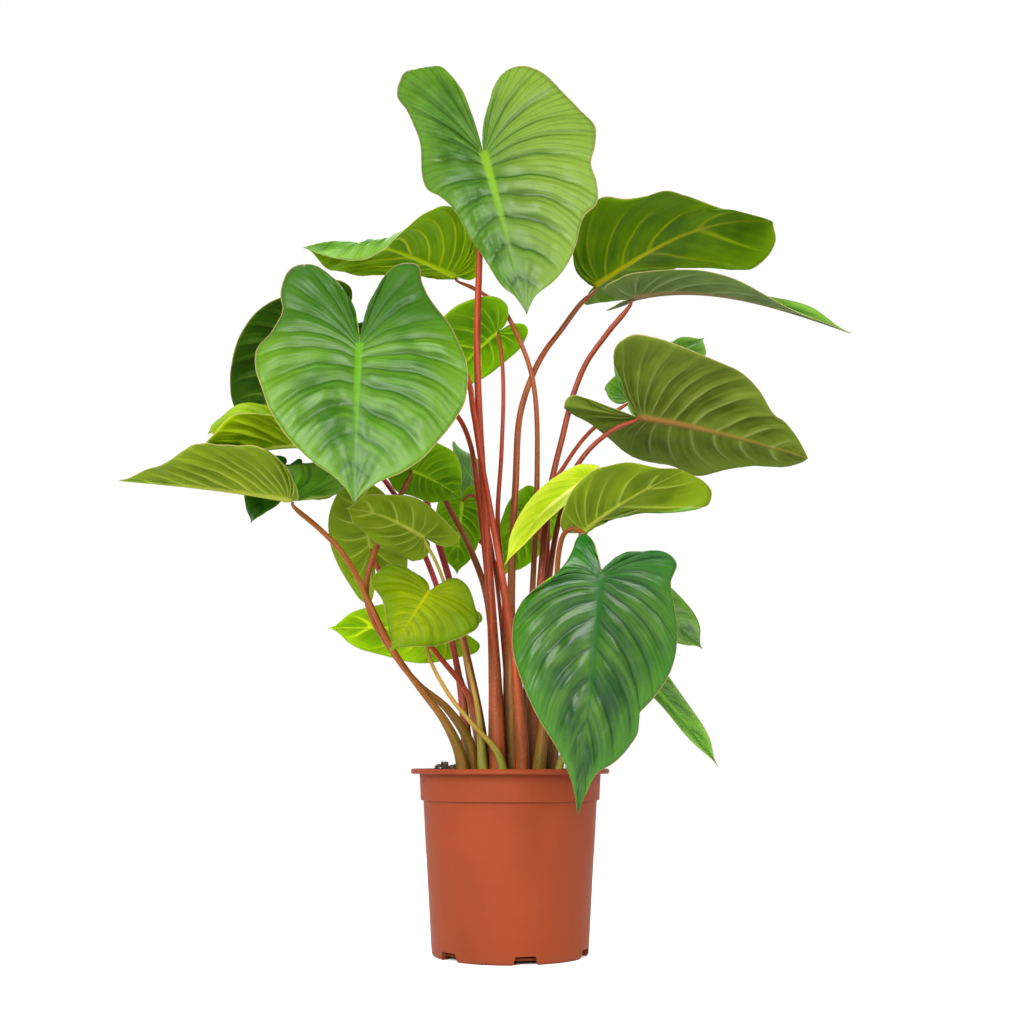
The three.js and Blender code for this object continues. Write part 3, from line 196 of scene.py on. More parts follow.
LEAVES = {
    "crown": Leaf(
        base=(-31, -30, 881), tip=(18, -70, 670), faces=(5, -8), halves=(CROWN_LEFT, CROWN_RIGHT),
        arch=(0.03, 0.05), fold=(-20, 5), curl=(-8, -12), lift=(-4, -4), wave=(3, 3, 0.1),
        stem=((-35, -12, 764), (-37, -14, 650), (-33, -17, 546), (-22, -25, 389), (-15, -28, 260),
              (-12, -28)), radii=(3.6, 5.4),
    ),
    "front_left": Leaf(
        base=(-151, -160, 609), tip=(-147, -205, 435), faces=(0, 10), halves=(FRONT_LEFT, FRONT_RIGHT),
        arch=(0.05, 0.08), fold=(6, 6), curl=(-14, -14), lift=(-4, -4), wave=(3, 3, 0.3),
        stem=((-129, -120, 590), (-96, -80, 583), (-59, -40, 567), (-44, -10, 540), (-35, 8, 482),
              (-27, 8, 414), (-20, 4, 325), (-15, -6)), radii=(2.6, 4.4),
    ),
    "high_left": Leaf(
        base=(-66, 90, 775), tip=(-238, 0, 776), faces=(160, 80), halves=(HIGH_LEFT_FAR, HIGH_LEFT_NEAR),
        arch=(0.1, 0.2), fold=(12, 24), fold_tip=(-55, -110), curl=(-8, -8), stem=((-44, 78, 756),
              (-10, 38, 717), (7, 21, 680), (22, 20, 640), (29, 18, 598), (30, 18, 500), (22, 13, 330),
              (15, 8)), radii=(2.4, 4),
    ),
    "middle_back": Leaf(
        base=(-14, 40, 688), tip=(-84, 80, 627), faces=(-150, 20),
        halves=(half(0.34, 0.3), half(0.66, 0.35)), curl=(-20, -20), wave=(3, 2, 0.2), stem=((-10, 43, 660),
              (-8, 38, 614), (-10, 29, 540), (-14, 22, 459), (-7, 18, 380), (-1, 12)), radii=(2.2, 4),
    ),
    "high_right": Leaf(
        base=(101, 80, 759), tip=(318, 70, 839), faces=(180, 80), halves=(HIGH_RIGHT_NEAR, HIGH_RIGHT_FAR),
        arch=(0.08, 0.2), fold=(24, 15), fold_tip=(-30, -50), curl=(-12, -12), wave=(4, 3, 0.2),
        stem=((84, 68, 733), (60, 52, 695), (39, 42, 663), (24, 36, 630), (11, 30, 584), (6, 14, 500),
              (2, -4, 412), (1, -11, 300), (4, -12)), radii=(3.2, 5),
    ),
    "far_right": Leaf(
        base=(136, -10, 710), tip=(384, -10, 670), faces=(180, 85),
        halves=(half(0.18, 0.12), half(0.16, 0.1)), arch=(0.15, 0.07), fold=(24, 20), lift=(10, -10),
        twist=50, wave=(3, 2, 0.2), stem=((111, 0, 674), (87, 6, 641), (72, 8, 605), (58, 6, 551),
              (44, 1, 490), (35, -6, 412), (27, -11, 300), (22, -12)), radii=(3.2, 4.6),
    ),
    "broad_right": Leaf(
        base=(144, 20, 580), tip=(348, 70, 544), faces=(180, 46), halves=(BROAD_RIGHT_NEAR, BROAD_RIGHT_FAR),
        arch=(0.06, 0.05), fold=(6, 18), stem=((120, 20, 567), (94, 25, 548), (74, 28, 522), (62, 28, 488),
              (49, 24, 435), (39, 19, 350), (31, 14)), radii=(2.8, 4.4),
    ),
    "right_back": Leaf(
        base=(141, 60, 613), tip=(240, 130, 711), faces=(0, 40), halves=(half(0.3, 0.12), half(0.24, 0.08)),
        fold=(5, 5), stem=((114, 52, 590), (86, 46, 563), (62, 41, 528), (47, 36, 500), (41, 36, 410),
              (34, 34, 280), (28, 32)), radii=(2.4, 4),
    ),
    "olive_right": Leaf(
        base=(77, -40, 436), tip=(193, 0, 513), faces=(180, 60), halves=(OLIVE_NEAR, OLIVE_FAR),
        arch=(0.06, 0.05), fold=(24, 16), fold_tip=(5, -35), curl=(-12, -12), stem=((73, -36, 423),
              (62, -33, 400), (51, -28, 344), (45, -24, 260), (42, -22)), radii=(2.8, 4),
    ),
    "young": Leaf(
        base=(94, 10, 509), tip=(-6, -50, 399), faces=(-15, 45), halves=2 * (half(0.16, 0.12),),
        arch=(0.1, 0.16), fold=(10, 10), curl=(20, 20), wave=(0, 3, 0.2), stem=((87, 20, 484), (76, 24, 430),
              (62, 26, 350), (50, 26, 240), (45, 26)), radii=(2.2, 3.6),
    ),
    "low_front": Leaf(
        base=(89, -150, 379), tip=(65, -132, 144), faces=(0, 5), halves=(LOW_LEFT, LOW_RIGHT),
        arch=(0.04, 0.03), fold=(-8, -8), curl=(-16, -16), lift=(-30, 5), wave=(3, 3, 0.3),
        stem=((82, -130, 401), (75, -112, 421), (65, -92, 431), (56, -76, 428), (51, -63, 410),
              (47, -52, 341), (37, -48, 258), (28, -44)), radii=(2.6, 4.2),
    ),
    "low_right": Leaf(
        base=(140, -20, 371), tip=(205, -20, 314), faces=(20, 30), halves=(half(0.35, 0.3), half(0.45, 0.3)),
        arch=(0.05, 0.05), fold=(5, 5), wave=(2, 2, 0.2), stem=((124, -8, 324), (97, 0, 271), (75, 6, 218),
              (66, 8)), radii=(2, 3),
    ),
    "slender_right": Leaf(
        base=(126, -60, 295), tip=(212, -60, 191), faces=(10, 35),
        halves=(half(0.12, 0.15), half(0.14, 0.15)), arch=(0.05, 0.05), fold=(15, 15), curl=(10, 10),
        wave=(2, 2, 0.2), stem=((109, -50, 269), (83, -44, 238), (57, -40, 208), (47, -38)), radii=(2, 3),
    ),
    "left_wing": Leaf(
        base=(-223, -100, 459), tip=(-428, -20, 498), faces=(180, 88),
        halves=(half(0.42, 0.14, TAPERED), half(0.4, 0.08, TAPERED)), arch=(0.02, 0.01), fold=(38, 26),
        curl=(-5, -5), stem=((-196, -88, 431), (-176, -80, 411), (-158, -72, 383), (-146, -68, 358),
              (-121, -58, 309), (-95, -50, 272), (-68, -43, 237), (-52, -40, 203), (-47, -40)),
        radii=(2.6, 4),
    ),
    "left_dark": Leaf(
        base=(-253, 0, 514), tip=(-282, -20, 450), faces=(0, 30), halves=(half(0.4, 0.3), half(0.3, 0.3)),
        curl=(-5, -5), stem=((-191, 16, 525), (-124, 33, 523), (-85, 37, 503), (-66, 38, 472),
              (-42, 38, 424), (-27, 38, 380), (-18, 38, 300), (-11, 34)), radii=(3, 4.4),
    ),
    "left_upper_wing": Leaf(
        base=(-216, -70, 525), tip=(-383, 0, 509), faces=(180, 88),
        halves=(half(0.29, 0.3), half(0.36, 0.25, TAPERED)), arch=(0.06, 0.03), fold=(36, 20), curl=(5, -5),
        wave=(4, 3, 0.2), stem=((-182, -56, 521), (-151, -44, 509), (-128, -31, 484), (-100, -18, 432),
              (-77, -8, 375), (-60, 2, 310), (-50, 6, 250), (-43, 8)), radii=(2.8, 4.2),
    ),
    "left_bright": Leaf(
        base=(-246, 42, 579), tip=(-341, 12, 559), faces=(0, 45),
        halves=(half(0.35, 0.3, BLUNT), half(0.3, 0.3, BLUNT)), fold=(10, 10), curl=(-5, -5),
        stem=((-225, 36, 556), (-190, 40, 560), (-143, 34, 551), (-105, 21, 511), (-85, 15, 450),
              (-65, 16, 385), (-48, 20, 310), (-34, 22, 235), (-27, 22)), radii=(3.2, 4.6),
    ),
    "left_back": Leaf(
        base=(-208, 25, 675), tip=(-322, 90, 578), faces=(-160, 30), halves=2 * (half(0.5, 0.42),),
        stem=((-160, 0, 648), (-89, -26, 634), (-50, -38, 614), (-40, -35, 570), (-32, -35, 520),
              (-19, -40, 448), (-8, -44, 387), (4, -43, 310), (12, -40, 218), (13, -40)), radii=(2.8, 4.4),
    ),
    "hanging_left": Leaf(
        base=(-150, -20, 421), tip=(-170, -60, 492), faces=(180, 35), halves=2 * (half(0.5, 0.65),),
        arch=(0.08, 0.15), fold=(5, 5), curl=(-15, -20), stem=((-135, -14, 383), (-110, -14, 347),
              (-75, -13, 305), (-47, -12, 269), (-32, -13, 225), (-25, -14)), radii=(2.4, 4),
    ),
    "cupped_left": Leaf(
        base=(-90, -60, 427), tip=(-167, -110, 449), faces=(180, 35),
        halves=(half(0.34, 0.12), half(0.34, 0.32)), arch=(0.18, 0.2), fold=(10, 10), curl=(-15, -20),
        stem=((-77, -48, 400), (-64, -40, 364), (-49, -34, 311), (-34, -34, 250), (-27, -34)),
        radii=(1.8, 3.4),
    ),
    "spotted": Leaf(
        base=(-83, -80, 368), tip=(-122, -100, 302), faces=(10, 15), halves=(SPOTTED_LEFT, SPOTTED_RIGHT),
        arch=(0.08, 0.12), fold=(-5, 0), stem=((-86, -66, 311), (-66, -58, 268), (-40, -53, 235),
              (-12, -48, 203), (-4, -46)), radii=(1.8, 3),
    ),
    "low_left": Leaf(
        base=(-73, 60, 342), tip=(-202, 30, 341), faces=(180, 30), halves=2 * (half(0.3, 0.3),),
        arch=(0.04, 0.04), curl=(-15, -20), stem=((-62, 52, 307), (-47, 42, 263), (-37, 36, 219), (-33, 34)),
        radii=(2, 3.6),
    ),
    "back_high": Leaf(
        base=(-55, 150, 548), tip=(-26, 200, 495), faces=(60, 20), halves=2 * (half(0.6, 0.4),),
        stem=((-64, 158, 512), (-50, 156, 476), (-24, 126, 440), (-8, 92, 385), (-1, 64, 290), (4, 52)),
        radii=(2.4, 4),
    ),
    "centre_left": Leaf(
        base=(-108, -30, 507), tip=(-53, -10, 480), faces=(180, 45), halves=(half(0.7, 0.3), half(0.5, 0.3)),
        fold=(5, 5), stem=((-119, -52, 470), (-139, -49, 425), (-151, -54, 380), (-147, -52, 350),
              (-122, -40, 307), (-97, -32, 276), (-66, -25, 250), (-43, -22, 214), (-39, -22)),
        radii=(2.8, 4),
    ),
    "back_low": Leaf(
        base=(-57, 100, 500), tip=(-64, 130, 415), faces=(190, -20), halves=2 * (half(0.33, 0.25),),
        stem=((-47, 84, 503), (-35, 70, 491), (-24, 57, 450), (-14, 49, 385), (-3, 40, 270), (5, 32)),
        radii=(1.8, 3.4),
    ),
    "back_centre": Leaf(
        base=(31, 130, 496), tip=(-9, 170, 419), faces=(190, -20), halves=2 * (half(0.35, 0.25),),
        stem=((36, 112, 466), (38, 90, 415), (33, 66, 320), (27, 55, 230), (24, 52)), radii=(2.4, 4),
    ),
}

def by_leaf(groups):
    return {leaf: finish for finish, leaves in groups.items() for leaf in leaves.split()}


# The leaves with a finish of their own: the upper face, the underside and the petiole
FACES = by_leaf({
    "crown": "crown",
    "front": "front_left low_right",
    "deep": "low_front left_dark",
    "young": "young",
    "spotted": "spotted",
    "bright": "left_bright",
})
UNDERSIDES = by_leaf({
    "lime": "high_left low_left back_high",
    "dark olive": "high_right",
    "grey": "far_right",
    "olive": "olive_right hanging_left cupped_left left_wing",
    "shaded olive": "left_back",
    "fresh": "left_upper_wing young",
    "olive brown": "broad_right",
})
STALKS = by_leaf({
    "red": "crown front_left middle_back",
    "orange": "high_left high_right olive_right young",
    "brick": "far_right broad_right",
    "brown": "left_wing centre_left low_front left_dark",
    "crimson": "left_upper_wing left_bright",
    "green": "cupped_left spotted low_right slender_right low_left",
})


def clamp01(x):
    return min(1.0, max(0.0, x))


def mix(a, b, t):
    return a + (b - a) * t


def ease(low, high, x):
    """A smooth step from 0 at low to 1 at high."""
    t = clamp01((x - low) / (high - low))
    return t * t * (3 - 2 * t)


def facing(around, up):
    """The direction that a face looks in."""
    a, e = math.radians(around), math.radians(up)
    return Vector((math.sin(a) * math.cos(e), -math.cos(a) * math.cos(e), math.sin(e)))


class Outline:
    """A half outline as a smooth curve from the base, read by its share of the arc length."""

    STEPS = 400

    def __init__(self, half, length):
        points = [Vector((0, 0))] + [Vector(p) * length for p in half]
        self.width = max(p.x for p in points)
        self.lobe = -min(p.y for p in points)
        last = len(points) - 1
        first = 2 * points[0] - points[1]
        beyond = 2 * points[last] - points[last - 1]
        self.fine = []
        for step in range(self.STEPS + 1):
            s = step / self.STEPS * last
            i = min(int(s), last - 1)
            f = s - i
            a = points[i - 1] if i > 0 else first
            b, c = points[i], points[i + 1]
            d = points[i + 2] if i + 2 <= last else beyond
            bend = (2 * a - 5 * b + 4 * c - d) * f * f + (3 * b - a - 3 * c + d) * f ** 3
            self.fine.append(0.5 * (2 * b + (c - a) * f + bend))
        self.along = [0.0]
        for before, after in zip(self.fine, self.fine[1:]):
            self.along.append(self.along[-1] + (after - before).length)

    def at(self, share):
        target = share * self.along[-1]
        i = next((k for k in range(1, self.STEPS) if self.along[k] >= target), self.STEPS)
        f = (target - self.along[i - 1]) / (self.along[i] - self.along[i - 1])
        return self.fine[i - 1].lerp(self.fine[i], f)


LOBE_SHARE = 0.22  # share of a half outline whose veins all leave close to the base
LOBE_VEINS = 0.03  # the stretch of midrib that they leave from, in lengths
VEIN_CROWDING = 3.3  # how much the other veins crowd toward the base
VEIN_BOW = 0.26  # how far a vein bends toward the tip, in its own lengths
OTHER_HALF_WAVE = 0.37  # the waves of the two halves are out of step by this share
SINUS_FADE = 0.03  # how far from the midrib's line waves fade, in lengths
BLADE_THICKNESS = 0.9  # of the solid blade, whose petiole is seated under its ridge
RIDGE = 1.3


class BladeForm:
    """The bent surface of a blade, in millimetres from the pot's axis."""

    def __init__(self, leaf):
        self.leaf = leaf
        self.chord = (leaf.tip - leaf.base).length
        ahead = (leaf.tip - leaf.base) / self.chord
        up = facing(*leaf.faces)
        up = (up - ahead * up.dot(ahead)).normalized()
        self.across = up.cross(ahead)
        inner = leaf.base + ahead * self.chord / 3 + up * leaf.arch[0] * self.chord
        outer = leaf.base + ahead * self.chord * 2 / 3 + up * leaf.arch[1] * self.chord
        self.knots = (leaf.base, inner, outer, leaf.tip)
        steps = 100
        places = [self.spine(i / steps) for i in range(steps + 1)]
        self.along = [0.0]
        for before, after in zip(places, places[1:]):
            self.along.append(self.along[-1] + (after - before).length)
        self.length = self.along[-1]
        self.outlines = [Outline(half, self.length) for half in leaf.halves]
        self.lobe = max(outline.lobe for outline in self.outlines)
        self.base_normal = self.tangent(0).cross(self.across).normalized()

    def spine(self, u):
        p, q, r, s = self.knots
        v = 1 - u
        return p * v ** 3 + q * 3 * u * v * v + r * 3 * u * u * v + s * u ** 3

    def tangent(self, u):
        p, q, r, s = self.knots
        v = 1 - u
        return ((q - p) * v * v + (r - q) * 2 * u * v + (s - r) * u * u).normalized()

    def even(self, share):
        """The curve's own parameter at a share of its length."""
        target = share * self.length
        last = len(self.along) - 1
        i = min(int(share * last), last - 1)
        while i > 0 and self.along[i] > target:
            i -= 1
        while i < last - 1 and self.along[i + 1] < target:
            i += 1
        return (i + (target - self.along[i]) / (self.along[i + 1] - self.along[i])) / last

    def vein(self, a, side):
        """The three knots of the vein that ends the share a of the way round a half outline."""
        past = clamp01((a - LOBE_SHARE) / (1 - LOBE_SHARE)) ** VEIN_CROWDING
        start = Vector((0, self.length * (LOBE_VEINS * min(a / LOBE_SHARE, 1) + (1 - LOBE_VEINS) * past)))
        end = self.outlines[side].at(a)
        run = end - start
        turned = math.atan2(run.x, -run.y)
        narrow = clamp01(self.outlines[side].width / (0.32 * self.length))
        bow = VEIN_BOW * clamp01(turned / math.radians(95)) * narrow
        bow = min(bow, 0.5 * run.x / max(abs(run.y), 1e-6))
        return start, start + run / 2 + Vector((run.y, -run.x)) * bow, end

    def at(self, vein, a, t, side):
        """The place t of the way along a vein, and where that is on the blade laid flat."""
        leaf = self.leaf
        flat = vein[0] * (1 - t) ** 2 + vein[1] * 2 * t * (1 - t) + vein[2] * t * t
        x, y = flat
        share = clamp01(y / self.length)
        u = self.even(share)
        along = self.tangent(u)
        spine = self.spine(u)
        sideways = (self.across - along * self.across.dot(along)).normalized()
        normal = along.cross(sideways)
        lift = leaf.lift[side]
        if y < 0:
            bend = lift * -y / self.lobe
            back = self.lobe / lift * math.sin(bend) if lift else -y
            rise = self.lobe / lift * (1 - math.cos(bend)) if lift else 0
            spine = spine - along * back + normal * rise
            along, normal = (
                along * math.cos(bend) - normal * math.sin(bend),
                normal * math.cos(bend) + along * math.sin(bend),
            )
        if y > self.length:
            spine = spine + along * (y - self.length)
        turn = leaf.twist * max(0, y) / self.length
        sideways, normal = (
            sideways * math.cos(turn) + normal * math.sin(turn),
            normal * math.cos(turn) - sideways * math.sin(turn),
        )
        width = self.outlines[side].width
        k = leaf.curl[side]
        folded = mix(leaf.fold[side], leaf.fold_tip[side], share * share)
        turned = folded + k * abs(x) / width
        out = width / k * (math.sin(turned) - math.sin(folded))
        height, waves, start = leaf.wave
        swing = height * math.sin(2 * math.pi * (waves * a + start + OTHER_HALF_WAVE * side))
        swing *= t * t * min(1, (1 - a) * 6) * ease(0, SINUS_FADE * self.length, abs(x))
        rise = width / k * (math.cos(folded) - math.cos(turned)) + swing
        outward = (1 if side else -1) * (-1 if x < 0 else 1)
        return spine + sideways * outward * out + normal * rise, flat


# Finishes


def linear(hexa):
    """An sRGB hex colour as the linear one that shaders take."""
    channels = [int(hexa[i:i + 2], 16) / 255 for i in (1, 3, 5)]
    return [c / 12.92 if c <= 0.04045 else ((c + 0.055) / 1.055) ** 2.4 for c in channels] + [1.0]


def add(tree, kind, inputs=(), out=0, **settings):
    """Adds a node and gives its output out: each input takes a value, or the output that feeds it."""
    node = tree.nodes.new("ShaderNode" + kind)
    for name, value in settings.items():
        setattr(node, name, value)
    for key, value in inputs.items() if isinstance(inputs, dict) else enumerate(inputs):
        if isinstance(value, bpy.types.NodeSocket):
            tree.links.new(value, node.inputs[key])
        else:
            node.inputs[key].default_value = value
    return node.outputs[out] if node.outputs else None


def new_material(name):
    material = bpy.data.materials.new(name)
    material.use_nodes = True
    material.node_tree.nodes.clear()
    return material, material.node_tree


def blade_material(name, tones, roughness, polish, glow, rib, veins, fine_veins, painted_light=None, blotches=0):
    """The skin of a leaf: veins and midrib along the blade's own lines, mottled flesh between them.

    tones are the hex colours shade, flesh, flush (toward the margin), vein, rib and light (what comes
    through); on the upper faces the dark vein tone is painted shade in the sunken veins. polish is how
    strongly the skin mirrors the room, and glow the share of the light that passes the blade. rib is the
    midrib's half width at the base, in blade lengths, and how strong it still is at the tip. veins are the
    half width of the side veins' lines, in vein gaps, and how far the flesh beside them takes their tone,
    on the upper faces painted shade in the valleys beside the veins. fine_veins is how dark the finer veins
    between them are, on the upper faces painted shade in their fine creases. painted_light is a part of
    the blade painted lighter or darker for how the light falls on it: the flat axis that it lies along,
    where on that it starts and is full, and the tone. blotches is the strength of dark specks.
    """
    material, tree = new_material(name)
    rib_width, rib_end = rib
    vein_width, valley_tone_and_shade_depth = veins
    shade, flesh, flush, vein_tone_and_groove_shade, rib_tone, light = (linear(tone) for tone in tones)
    place = add(tree, "TexCoord", out="Object")
    lanes = add(tree, "UVMap", uv_map="veins")
    flat = add(tree, "UVMap", uv_map="blade")
    vein_axes = add(tree, "SeparateXYZ", (lanes,)).node.outputs
    flat_axes = add(tree, "SeparateXYZ", (flat,)).node.outputs
    out = add(tree, "Math", (vein_axes[1],), operation="ABSOLUTE")

    # Blotches about 35 mm wide, and streaks that run with the veins
    broad = add(tree, "TexNoise", {"Vector": place, "Scale": 28, "Detail": 2, "Roughness": 0.5})
    lines = add(tree, "Mapping", {0: lanes, "Scale": (5.5, 1.4, 1)})
    streaks = add(tree, "TexNoise", {"Vector": lines, "Scale": 1, "Detail": 3, "Roughness": 0.6})
    grain = add(tree, "TexNoise", {"Vector": place, "Scale": 420, "Detail": 2, "Roughness": 0.6})
    both = add(tree, "Math", (broad, streaks), operation="ADD")
    mottle = add(tree, "MapRange", (both, 0.78, 1.22))
    tone = add(tree, "Mix", {0: mottle, 6: shade, 7: flesh}, out=2, data_type="RGBA")
    near_margin = add(tree, "MapRange", (out, 0.45, 1.0, 0.0, 0.8), interpolation_type="SMOOTHSTEP")
    layers = [(near_margin, flush)]
    # Painted light and shade: one part of the blade is painted lighter or darker for how the light falls on
    # it
    if painted_light:
        axis, start, full, painted_tone = painted_light
        layers.append((add(tree, "MapRange", (flat_axes[axis], start, full, 0.0, 0.85)), linear(painted_tone)))
    if blotches:
        specks = add(tree, "TexVoronoi", {"Vector": place, "Scale": 150, "Randomness": 1})
        spot = add(tree, "MapRange", (specks, 0.16, 0.24, 1.0, 0.0))
        patch = add(tree, "MapRange", (broad, 0.52, 0.6, 0.0, blotches))
        layers.append((add(tree, "Math", (spot, patch), operation="MULTIPLY"), linear("#3F6A14")))

    # Side veins at the whole numbers, fading out before the margin. On the upper faces their dark lines and
    # the band beside them are painted shade in the sunken veins and their valleys; on the undersides they
    # take the veins' own pale tone
    to_vein = add(tree, "Math", (vein_axes[0], 0.5), operation="PINGPONG")
    spread = add(tree, "MapRange", (out, 0.0, 1.0, 2.4 * vein_width, 0.6 * vein_width))
    line = add(tree, "MapRange", (to_vein, 0.0, spread, 1.0, 0.0), interpolation_type="SMOOTHSTEP")
    fade = add(tree, "MapRange", (out, 0.5, 0.97, 0.85, 0.0))
    # Painted shade: darker in the valleys beside the sunken veins on the upper faces, the pale vein tone on
    # the undersides
    valley_tone_and_shade = add(tree, "MapRange", (to_vein, 0.0, 0.3, valley_tone_and_shade_depth, 0.0), interpolation_type="SMOOTHSTEP")
    valley_tone_and_shade = add(tree, "Math", (valley_tone_and_shade, fade), operation="MULTIPLY")
    line = add(tree, "Math", (line, fade), operation="MULTIPLY")
    # Three finer veins between two side veins, a little uneven; on the upper faces their dark lines are
    # painted shade in fine creases
    strayed = add(tree, "Math", (streaks, 0.3, vein_axes[0]), operation="MULTIPLY_ADD")
    to_fine = add(tree, "Math", (strayed, 0.125), operation="PINGPONG")
    fine_line = add(tree, "MapRange", (to_fine, 0.0, 0.05, fine_veins, 0.0), interpolation_type="SMOOTHSTEP")
    before_tip = add(tree, "MapRange", (flat_axes[1], 0.55, 0.85, 1.0, 0.0))
    fine_fade = add(tree, "MapRange", (out, 0.05, 0.3, 0.0, before_tip))
    fine_line = add(tree, "Math", (fine_line, fine_fade), operation="MULTIPLY")

    # The midrib, a band that narrows from the base to the tip
    off = add(tree, "Math", (flat_axes[0],), operation="ABSOLUTE")
    reach = add(tree, "MapRange", (flat_axes[1], 0.0, 0.9, rib_width, 0.2 * rib_width))
    from_middle = add(tree, "Math", (off, reach), operation="DIVIDE")
    rib = add(tree, "MapRange", (from_middle, 0.4, 1.1, 1.0, 0.0), interpolation_type="SMOOTHSTEP")
    rib_fade = add(tree, "MapRange", (flat_axes[1], 0.25, 0.75, 1.0, rib_end))
    rib = add(tree, "Math", (rib, rib_fade), operation="MULTIPLY")
    ahead = add(tree, "MapRange", (flat_axes[1], -0.006, 0.01))
    rib = add(tree, "Math", (rib, ahead), operation="MULTIPLY")

    # The corky line along the margin
    edge = add(tree, "MapRange", (out, 0.987, 0.997, 0.0, 0.7))
    layers += [(valley_tone_and_shade, vein_tone_and_groove_shade), (line, vein_tone_and_groove_shade), (fine_line, vein_tone_and_groove_shade), (rib, rib_tone)]
    for share, colour in layers + [(edge, linear("#A98A62"))]:
        tone = add(tree, "Mix", {0: share, 6: tone, 7: colour}, out=2, data_type="RGBA")

    # Duller and glossier patches, the finest veins, about seven between two side veins, and the skin's grain
    gloss = add(tree, "MapRange", (broad, 0.3, 0.7, roughness - 0.05, roughness + 0.07))
    threads = add(tree, "Mapping", {0: lanes, "Scale": (5, 0.7, 1)})
    fine = add(tree, "TexNoise", {"Vector": threads, "Scale": 1, "Detail": 2, "Roughness": 0.5})
    relief = add(tree, "Math", (grain, 0.16, fine), operation="MULTIPLY_ADD")
    relief = add(tree, "Math", (fine_line, -0.5, relief), operation="MULTIPLY_ADD")
    relief = add(tree, "Math", (relief, before_tip), operation="MULTIPLY")
    bump = add(tree, "Bump", {"Height": relief, "Strength": 0.5, "Distance": 0.0006})
    skin = add(
        tree, "BsdfPrincipled",
        {"Base Color": tone, "Roughness": gloss, "Specular IOR Level": polish, "Normal": bump},
    )
    through = add(tree, "Mix", {0: line, 6: light, 7: vein_tone_and_groove_shade}, out=2, data_type="RGBA")
    passed = add(tree, "BsdfTranslucent", {"Color": through, "Normal": bump})
    blend = add(tree, "MixShader", (glow, skin, passed))
    add(tree, "OutputMaterial", (blend,))
    return material


# Waxy upper skin, which mirrors the sky in broad pale gleams: shade, flesh, flush, vein, rib, light. The vein
# tone, darker than the flesh, is painted shade in the sunken veins and their valleys
FACE_TONES = {
    "green": ("#275003", "#4B761A", "#608729", "#234B03", "#5C9003", "#78A70F"),
    "crown": ("#1F4202", "#395E15", "#43670E", "#1B3C02", "#567902", "#658314"),
    "front": ("#234801", "#43690F", "#496E04", "#1D4301", "#457401", "#5F8809"),
    "deep": ("#022F05", "#345803", "#2D5F01", "#042F03", "#0E4102", "#367201"),
    "young": ("#86A108", "#ADBB23", "#B6C334", "#86A108", "#C9C960", "#CCC947"),
    "bright": ("#567206", "#728C14", "#7A921E", "#567206", "#8A9636", "#8C9A2E"),
    "spotted": ("#4D5E00", "#6C7900", "#425D00", "#526500", "#7E8300", "#8D9400"),
}
# Painted light and shade: the right half of the top leaf is painted lighter and yellower where the light
# falls on it, and the lobes of the broad leaf in front and of the dark glossy leaves are painted darker in
# shade
FACE_PAINTED_LIGHT = {
    "crown": (0, -0.1, 0.28, "#5F7625"), "front": (1, 0.04, -0.2, "#1F4502"),
    "deep": (1, 0.1, -0.12, "#064A02"),
}
# How strongly each upper skin mirrors the room
FACE_POLISH = {"crown": 0.24, "front": 0.26, "deep": 0.3, "young": 0.16, "spotted": 0.05, "bright": 0.12}
# Matt underside with raised pale veins, which shows the light that comes through the blade
UNDERSIDE_TONES = {
    "green": ("#447101", "#6A9C01", "#6F9F01", "#9DC51B", "#9DBF1B", "#9DD605"),
    "olive": ("#485E02", "#697C0E", "#667C0E", "#8F9F35", "#8C952F", "#89A11A"),
    "olive brown": ("#3A4704", "#57671A", "#58681E", "#727E3B", "#7D5A2B", "#738820"),
    "dark olive": ("#365501", "#597901", "#537301", "#809603", "#9A950C", "#77A101"),
    "grey": ("#455B27", "#60733E", "#627638", "#818E5E", "#786543", "#678543"),
    # Painted shade: a darker copy of the dark olive underside, for the leaf at the back on the left
    "shaded olive": ("#152F02", "#284602", "#254202", "#4B660F", "#58661D", "#385F02"),
    "fresh": ("#7E9E06", "#9AB80C", "#A4BE10", "#B4C828", "#B8C84A", "#A8C41A"),
    "lime": ("#557F01", "#7EA501", "#82AA01", "#BFD411", "#BDD10F", "#B4DC02"),
}


# Blades

# Leaves with few side veins and shallow pleats
SMOOTH = {
    "high_right", "far_right", "olive_right", "hanging_left", "cupped_left", "middle_back", "low_left",
    "young", "slender_right", "left_dark", "low_right",
}
SEEN_EDGE_ON = {"left_wing", "far_right", "slender_right"}  # no pleats near the tips of these
FEW_GAPS = (0.17, 0.1, 0.12, 0.13, 0.13, 0.13, 0.12, 0.1)  # of the smooth leaves
VEIN_GAPS = (0.15, 0.06, 0.07, 0.075, 0.08, 0.08, 0.08, 0.08, 0.075, 0.07, 0.065, 0.06, 0.055)
STEEPEST_PLEAT = 0.16  # height of a pleat between two veins, in the room between them
SLIGHTEST_ROOM = (1.5, 5)  # the room in which pleats start and are full, in millimetres
RIM_OF_BOX = 0.0002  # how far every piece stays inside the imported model's box, in metres
DRAWN_IN = 0.012  # how far below the top of that box places are drawn in
FOLD_HEIGHT = 0.22  # of the small folds on a pleat, in pleats
VEIN_HEIGHT = 0.45  # of a side vein, in midrib heights
RIB_REACH = 0.016  # half width of the midrib at the base, in blade lengths
GROOVE_REACH = 0.012  # of the furrow over it


def vein_places(rng, gaps):
    """The side veins' ends as shares of a half outline, each a little off its even place."""
    ends = [0.0]
    for gap in gaps:
        ends.append(ends[-1] + gap * rng.uniform(0.86, 1.14))
    return [end / ends[-1] for end in ends]


def along_vein(knots, t):
    return knots[0] * (1 - t) ** 2 + knots[1] * 2 * t * (1 - t) + knots[2] * t * t


